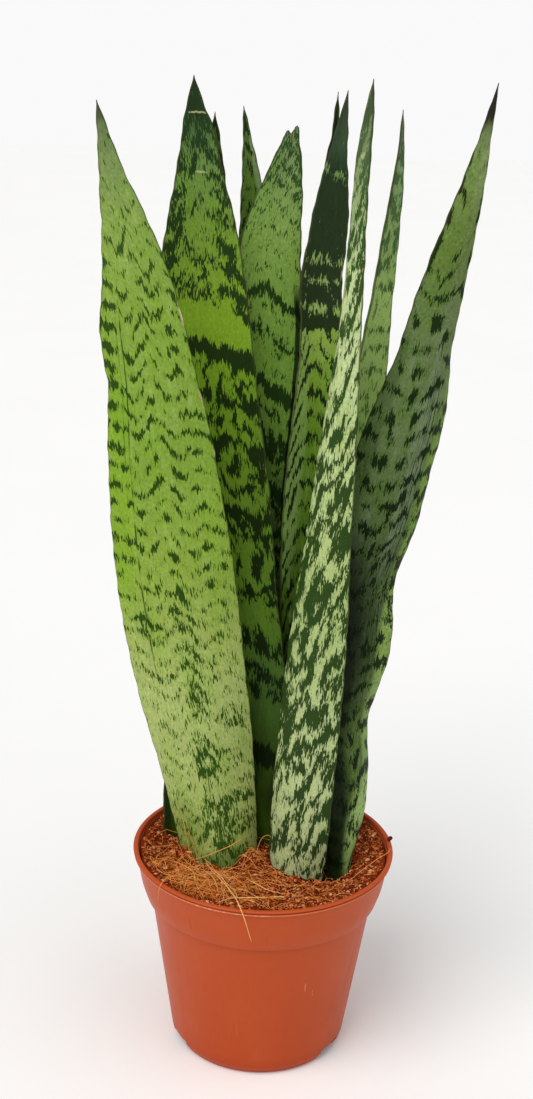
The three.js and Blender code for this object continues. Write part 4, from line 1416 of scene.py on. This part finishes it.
def leaf_feet(spare):
    """The feet of the leaves, wider by the clearance, as closed bodies to cut with."""
    shape = bmesh.new()
    lines = blade_lines(FOOT_STRIPS)
    levels = [FOOT_LEVEL - spare, *FOOT_LEVELS]
    for leaf in LEAVES.values():
        rings = []
        for level in levels:
            height = np.full_like(lines, max(level, FOOT_LEVEL))
            wide = lines * (1 + 2 * spare / through(leaf["width"])(level))
            bulge = 1 + spare / np.maximum(half_thickness(leaf, height, lines * 0.9), 0.5)
            near = np.stack(blade_place(leaf, height, lines * 0.999, 1), axis=1)
            far = np.stack(blade_place(leaf, height, lines * 0.999, -1), axis=1)
            middle = (near + far) / 2
            end = (middle[-1] - middle[0]) / np.linalg.norm(middle[-1] - middle[0])
            stretch = ((wide - lines) * through(leaf["width"])(level) / 2)[:, None] * end
            near = middle + (near - middle) * bulge[:, None] + stretch
            far = middle + (far - middle) * bulge[:, None] + stretch
            ring = list(near) + list(far[-2:0:-1])
            rings.append([shape.verts.new((px * MM, py * MM, level * MM)) for px, py in ring])
        for lower, upper in zip(rings, rings[1:]):
            count = len(lower)
            for k in range(count):
                shape.faces.new((lower[k], lower[(k + 1) % count], upper[(k + 1) % count], upper[k]))
        shape.faces.new(rings[0][::-1])
        shape.faces.new(rings[-1])
    bmesh.ops.recalc_face_normals(shape, faces=shape.faces)
    mesh = bpy.data.meshes.new("leaf_feet")
    shape.to_mesh(mesh)
    shape.free()
    return mesh


feet_mesh = leaf_feet(CLEARANCE)
print("faces round the feet:", len(feet_mesh.polygons))

# %% Heap the coir bed
inner_collar = COLLAR_FOOT_LEVEL + WALL
bed_line = [(0, SOIL_LEVEL)]
bed_line += [(BED_RADIUS * k / BED_RINGS, SOIL_LEVEL) for k in range(1, BED_RINGS + 1)]
bed_line += [
    (collar_radius(SOIL_LEVEL) - WALL - CLEARANCE, SOIL_LEVEL),
    (COLLAR_LINE[1][1] - WALL - CLEARANCE, COLLAR_LINE[1][0]),
    (collar_radius(inner_collar) - WALL - CLEARANCE, inner_collar + CLEARANCE),
    (wall_radius(inner_collar) - WALL - CLEARANCE, inner_collar + CLEARANCE),
    (WALL_FOOT_RADIUS - WALL - CLEARANCE, WALL_FOOT_LEVEL),
    (FOOT_RADIUS - WALL - CLEARANCE, FLOOR_THICKNESS + CLEARANCE),
    (0, FLOOR_THICKNESS + CLEARANCE),
]
bed_mesh = turned_mesh("coir_bed", bed_line, BED_STEPS)
for vert in bed_mesh.vertices[:1 + BED_RINGS * BED_STEPS]:
    x, y = vert.co.x / MM, vert.co.y / MM
    vert.co.z = bed_surface(x, y) * MM
facing_out(bed_mesh)
bed_mesh = cut_away(bed_mesh, feet_mesh)
print("bed faces:", len(bed_mesh.polygons))

# %% [markdown]
# # Crumbs and grit
# On the bed lie loose crumbs, a millimetre or two across, and finer grit. A few crumbs lie on the rim.
# Each starts as a coarse ball that is squashed, knocked out of shape and turned at random.
# Particles could scatter them, but then none would keep clear of the leaves.
# The random draws start from a fixed seed, so that every run heaps the same coir.
# Each crumb and fibre also carries a tone of its own, which its material reads.

# %% Keep clear of the leaves
TABLE_TOP = 130


def foot_table():
    """Where each leaf runs near the coir, for every millimetre of height."""
    levels = np.arange(FOOT_LEVEL, TABLE_TOP + 1)
    columns = []
    for leaf in LEAVES.values():
        facing = np.radians(through(leaf["facing"])(levels))
        columns.append(np.stack([through(leaf["path"], 1)(levels), through(leaf["path"], 2)(levels),
                                 np.cos(facing), np.sin(facing), through(leaf["width"])(levels) / 2,
                                 through(leaf["bulge"])(levels)], axis=1).tolist())
    return columns


FOOT_TABLE = foot_table()


def inside_leaf(x, y, z, spare):
    """Whether a place is inside a leaf, or closer to one than spare."""
    row = min(TABLE_TOP - FOOT_LEVEL, max(0, round(z) - FOOT_LEVEL))
    for rows in FOOT_TABLE:
        middle_x, middle_y, cosine, sine, half, bulge = rows[row]
        along = (x - middle_x) * cosine + (y - middle_y) * sine
        if abs(along) > half + spare:
            continue
        across = (x - middle_x) * sine - (y - middle_y) * cosine
        q = max(-1.0, min(1.0, along / half))
        if abs(across - bulge * (1 - q * q)) < FOOT_THICKNESS / 2 + spare:
            return True
    return False


print("leaves in the table:", len(FOOT_TABLE), "rows for each:", len(FOOT_TABLE[0]))

# %% Collect small bodies in a heap
class Heap:
    """Collects many small bodies into one mesh, with a tone for each."""

    def __init__(self):
        self.verts, self.faces, self.tones = [], [], []

    def add(self, verts, faces, tone):
        start = len(self.verts)
        self.verts += [tuple(Vector(vert) * MM) for vert in verts]
        self.faces += [[start + k for k in face] for face in faces]
        self.tones += [tone] * len(verts)

    def mesh(self, name):
        mesh = bpy.data.meshes.new(name)
        mesh.from_pydata(self.verts, [], self.faces)
        tone = mesh.attributes.new("tone", "FLOAT", "POINT")
        tone.data.foreach_set("value", self.tones)
        return mesh


def ball(subdivisions):
    shape = bmesh.new()
    bmesh.ops.create_icosphere(shape, subdivisions=subdivisions, radius=1.0)
    verts = [vert.co.copy() for vert in shape.verts]
    faces = [[vert.index for vert in face.verts] for face in shape.faces]
    shape.free()
    return verts, faces


print("corners of a crumb:", len(ball(2)[0]), "corners of a grain of grit:", len(ball(1)[0]))

# %% Scatter crumbs and grit
CRUMBS = 2100
GRIT = 7000
RIM_TONE = 0.05
HEAP_SHARE = 0.985
# The least and the most of a body's size along each of its axes.
CRUMB_SHAPE = ((0.9, 1.7), (0.6, 1.0), (0.4, 0.8))
GRIT_SHAPE = ((0.9, 2.2), (0.5, 1.0), (0.4, 0.9))
# The crumbs on the rim: place, size.
RIM_CRUMBS = [(58.9, 7.4, 97.0, 1.15), (58.6, 6.0, 96.9, 0.8), (59.2, 9.0, 96.8, 0.7), (59.4, 8.2, 97.4, 0.6)]


def stretched(draw, size, *shares):
    """A size along three axes, each with a share of its own."""
    return Vector([size * draw.uniform(low, high) for low, high in shares])


def tumbled(draw, lean):
    """A turn by any angle about the upright, after leaning over by no more than lean."""
    turn = Matrix.Rotation(draw.uniform(0, 6.3), 3, "Z")
    return turn @ Matrix.Rotation(draw.uniform(-lean, lean), 3, "X")


def spot_on_bed(draw):
    """A place on the bed, and how far it is from the middle."""
    radius = BED_RADIUS * math.sqrt(draw.random()) * HEAP_SHARE
    angle = draw.uniform(-math.pi, math.pi)
    return radius * math.cos(angle), radius * math.sin(angle), radius


def no_room(x, y, z, radius, size, spare):
    """Whether a body of this size would touch a leaf or the pot."""
    near_leaf = inside_leaf(x, y, max(z, FOOT_LEVEL), size + CLEARANCE)
    return near_leaf or radius + size > BED_RADIUS + spare


def knocked_ball(draw, ball_verts, place, size):
    """A ball, squashed, turned and knocked out of shape, at a place."""
    stretch = stretched(draw, size, *CRUMB_SHAPE)
    turn = tumbled(draw, 0.7)
    knock = Vector((draw.uniform(0, 100), 0, 0))
    verts = []
    for vert in ball_verts:
        out = 1 + 0.75 * noise.noise(vert * 1.3 + knock)
        verts.append(turn @ Vector(a * b * out for a, b in zip(vert, stretch)) + Vector(place))
    return verts


draw = random.Random(7)
crumbs = Heap()
ball_verts, ball_faces = ball(2)
for *place, size in RIM_CRUMBS:
    crumbs.add(knocked_ball(draw, ball_verts, place, size), ball_faces, RIM_TONE)
while len(crumbs.verts) < CRUMBS * len(ball_verts):
    x, y, radius = spot_on_bed(draw)
    size = 0.4 + 0.75 * draw.random() ** 3
    z = bed_surface(x, y) + size * 0.15
    if no_room(x, y, z, radius, size, 0.6):
        continue
    crumbs.add(knocked_ball(draw, ball_verts, (x, y, z), size), ball_faces, draw.random())
print("crumbs:", CRUMBS, "vertices:", len(crumbs.verts))

grit = Heap()
ball_verts, ball_faces = ball(1)
while len(grit.verts) < GRIT * len(ball_verts):
    x, y, radius = spot_on_bed(draw)
    size = draw.uniform(0.22, 0.5)
    z = bed_surface(x, y) + size * draw.uniform(0.2, 0.9)
    if no_room(x, y, z, radius, size, 0.4):
        continue
    turn = tumbled(draw, 1)
    stretch = stretched(draw, size, *GRIT_SHAPE)
    verts = [turn @ Vector(a * b for a, b in zip(vert, stretch)) + Vector((x, y, z)) for vert in ball_verts]
    grit.add(verts, ball_faces, draw.random())
print("grit:", GRIT, "vertices:", len(grit.verts))

# %% [markdown]
# # Fibres
# Fibres mat together at the front left, and single ones stray up the leaves and over the rim.
# Hair curves would be lighter, but a mesh goes into any other program,
# so each fibre is a thin tube along a wandering path, pointed at both ends.
# The strays are laid point by point, because each has a place of its own.

# %% Describe the stray fibres
# Thickness, tone and places of each.
STRAY_FIBRES = [
    (0.24, 0.85, [(-27, -8.3, 93), (-23, -21.5, 94), (-17.7, -35, 96.5), (-12, -50, 98.2),
                  (-9.4, -58.6, 98.2), (-7.6, -61.5, 95.4), (-5.6, -60.9, 88.5), (-3.9, -58.3, 81.2)]),
    (0.26, 1.0, [(-18.8, -51.5, 95.6), (-13.7, -47.5, 95.4), (-7.3, -43.6, 93.6), (1.4, -42.4, 93.4),
                 (10.1, -41.2, 93.4), (18.5, -38.6, 92.6)]),
    (0.17, 0.7, [(-34, -16, 92), (-37.1, -20.7, 93.4), (-40.9, -30.5, 96), (-43.6, -39.6, 97.6),
                 (-44.9, -41.8, 95.3), (-45.6, -38.3, 87.8)]),
    (0.18, 0.75, [(-33, -10.5, 92.4), (-26.9, -13.5, 96), (-20.6, -14.5, 99.6), (-14.3, -14.5, 103),
                  (-9.9, -13.5, 106)]),
    (0.15, 0.6, [(-32.9, -9.5, 92), (-34.1, -8, 97), (-35.3, -6.8, 104), (-37, -6.2, 110),
                 (-39.2, -6.4, 117)]),
    (0.13, 0.5, [(-30, -10.5, 92), (-31, -9.6, 98), (-33.5, -8.4, 104), (-34, -7.6, 109)]),
    (0.15, 0.65, [(-3.1, -9, 92), (-2.6, -6.5, 97), (-0.7, -5.5, 102), (2, -6, 104), (4, -7, 103)]),
    (0.2, 0.95, [(-7.2, -27.5, 93.6), (-3.1, -32.4, 94.4), (2.6, -37.1, 94), (10.1, -37.5, 92.4)]),
    (0.2, 0.9, [(-26, -14, 93), (-22, -24, 95.5), (-17, -33, 95.8), (-13, -42, 93)]),
    (0.17, 0.8, [(-30, -22, 93), (-24, -27, 95.6), (-20, -36, 95), (-19, -46, 93)]),
    (0.2, 0.7, [(-44, -12, 92.5), (-38, -18, 95), (-31, -27, 95.8), (-29, -38, 93.4)]),
    (0.14, 0.6, [(22, -34, 92), (23, -35, 96), (25.5, -36, 99)]),
    (0.16, 0.75, [(40, -22, 92), (45, -17, 94), (52, -9, 95), (57, -6, 97), (58.8, -2, 97.4)]),
]

print("strays:", len(STRAY_FIBRES))

# %% Make a fibre from a path
FIBRE_SIDES = 4
STRAY_SIDES = 6
STRAY_STEPS = 7


def tube(points, thickness, sides):
    """A thin tube along points, pointed at both ends."""
    verts, faces = [], []
    last = len(points) - 1
    for k, point in enumerate(points):
        ahead = (points[min(k + 1, last)] - points[max(k - 1, 0)]).normalized()
        side = ahead.cross(Vector((0.31, 0.17, 0.94))).normalized()
        other = ahead.cross(side)
        radius = thickness * max(0.12, math.sin(math.pi * (k + 0.25) / (last + 0.5)) ** 0.35)
        for turn in range(sides):
            angle = 2 * math.pi * turn / sides
            verts.append(point + (side * math.cos(angle) + other * math.sin(angle)) * radius)
    for k in range(last):
        lower, upper = k * sides, (k + 1) * sides
        for turn in range(sides):
            after = (turn + 1) % sides
            faces.append([lower + turn, lower + after, upper + after, upper + turn])
    faces.append(list(range(sides))[::-1])
    faces.append([last * sides + turn for turn in range(sides)])
    return verts, faces


def bent_through(points, steps):
    """Points on a smooth curve through the given ones."""
    points = [Vector(point) for point in points]
    points = [points[0] * 2 - points[1]] + points + [points[-1] * 2 - points[-2]]
    line = []
    for a, b, c, d in zip(points, points[1:], points[2:], points[3:]):
        for step in range(steps):
            t = step / steps
            line.append(0.5 * (2 * b + (c - a) * t + (2 * a - 5 * b + 4 * c - d) * t * t
                               + (3 * b - a - 3 * c + d) * t * t * t))
    line.append(points[-2])
    return line


print("places on each stray:", [len(bent_through(points, STRAY_STEPS)) for _, _, points in STRAY_FIBRES])

# %% Let a fibre wander
def wandering_fibre(draw, long):
    """A path that wanders over the coir, or None where it would leave the pot or run into a leaf."""
    matted = draw.random() < (0.8 if long else 0.35)
    x = draw.gauss(-24, 15) if matted else draw.uniform(-55, 55)
    y = draw.gauss(-29, 13) if matted else draw.uniform(-55, 55)
    heading = draw.uniform(0, 2 * math.pi)
    bend = draw.gauss(0, 0.06 if long else 0.22)
    stride = draw.uniform(1.0, 1.9) if long else draw.uniform(0.6, 1.1)
    count = draw.randint(10, 18) if long else draw.randint(6, 11)
    arch = draw.uniform(0.6, 4.0) if long else draw.uniform(0.1, 1.6)
    path = []
    for k in range(count):
        z = bed_level(x, y) + crumbly(x, y) * 0.5 + 0.5 + arch * math.sin(math.pi * k / (count - 1))
        if math.hypot(x, y) > BED_RADIUS - 0.6 or inside_leaf(x, y, z, 0.5):
            break
        path.append(Vector((x, y, z)))
        bend += draw.gauss(0, 0.04 if long else 0.1)
        heading += bend
        x += stride * math.cos(heading)
        y += stride * math.sin(heading)
    return path if len(path) > 4 else None


trials = random.Random(2)
print("fibres from 100 tries:", sum(wandering_fibre(trials, False) is not None for _ in range(100)))

# %% Spin the fibres
FIBRES = 1500

fibres = Heap()
spun = 0
while spun < FIBRES:
    long = spun % 8 == 0
    path = wandering_fibre(draw, long)
    if path is None:
        continue
    spun += 1
    thickness = draw.uniform(0.08, 0.14) if long else draw.uniform(0.06, 0.13)
    tone = draw.uniform(0.4, 0.95) if long else 0.75 * draw.random() ** 1.2
    fibres.add(*tube(path, thickness, FIBRE_SIDES), tone)
for thickness, tone, points in STRAY_FIBRES:
    fibres.add(*tube(bent_through(points, STRAY_STEPS), thickness, STRAY_SIDES), tone)
print("fibres:", spun + len(STRAY_FIBRES), "vertices:", len(fibres.verts))

# %% [markdown]
# # The colours of coir
# The bed is darker where it lies lower: painted shade in its hollows. Crumbs run from black-brown to
# red-brown, and dry fibres are golden.
# The tone that each body carries picks its place on the ramp, and a little noise breaks it up.

# %% Finish the coir
def coir_material(name, stops, depth, tone_from):
    sheet = Surface(name)
    where = sheet.place()
    x, y, height = sheet.split(where)
    fine = sheet.noise(sheet.vector(x / 0.5, y / 0.5, height / 0.5), 2.0)
    patchy = sheet.noise(sheet.vector(x / 5, y / 5, height / 5), 2.0)
    if tone_from == "tone":
        tone = sheet.attribute("tone") * 0.8 + fine * 0.12 + patchy * 0.08 + 0.1
    else:
        # Lower places of the bed get a darker tone: painted shade in its hollows.
        tone = fine * 0.22 + patchy * 0.16 + sheet.step(height, SOIL_LEVEL - 2, SOIL_LEVEL + 2) * 0.5
    colour = sheet.ramp(sheet.math("MINIMUM", sheet.math("MAXIMUM", tone, 0.0), 1.0), stops)
    return sheet.finish(colour, fine * 0.06 + 0.82, fine, depth=depth, specular=0.06)


bed_material = coir_material(
    "coir_bed", [(0, "#260902"), (0.45, "#6c240a"), (0.8, "#aa4c20"), (1, "#cc743c")], 0.3, "height")
crumb_material = coir_material(
    "coir_crumbs", [(0, "#2c0902"), (0.3, "#8a3410"), (0.65, "#ca6a32"), (1, "#fcc092")], 0.15, "tone")
fibre_material = coir_material(
    "coir_fibres", [(0, "#7c2a08"), (0.3, "#c8661f"), (0.6, "#ec9a48"), (1, "#fbc884")], 0.04, "tone")
new_object("coir_bed", bed_mesh, bed_material, "coir", "coir_soil")
new_object("coir_crumbs", crumbs.mesh("coir_crumbs"), crumb_material, "coir")
new_object("coir_grit", grit.mesh("coir_grit"), crumb_material, "coir")
new_object("coir_fibres", fibres.mesh("coir_fibres"), fibre_material, "coir")

# %% [markdown]
# # The rhizomes
# Under the coir the leaves grow from two creeping rhizomes, whose solids are good as they are.
# They only need the ringed, pale ochre skin of a rhizome, in place of a plain colour.

# %% Finish the rhizomes
def rhizome_material():
    sheet = Surface("rhizome_skin")
    x, y, height = sheet.split(sheet.place())
    cloud = sheet.noise(sheet.vector(x / 4, y / 4, height / 4), 2.0)
    rings = sheet.math("SINE", y * 1.5 + x * 0.4 + cloud * 1.2)
    colour = sheet.ramp(rings * 0.3 + cloud * 0.25 + 0.5, [(0, "#8a5a2c"), (0.5, "#c58a4c"), (1, "#dcae78")])
    return sheet.finish(colour, cloud * 0.06 + 0.6, rings * 0.5 + cloud, depth=0.2, specular=0.3)


skin = rhizome_material()
for name in ("rhizome_left", "rhizome_right"):
    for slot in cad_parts[name].material_slots:
        slot.material = skin
    print(name, "has its skin")
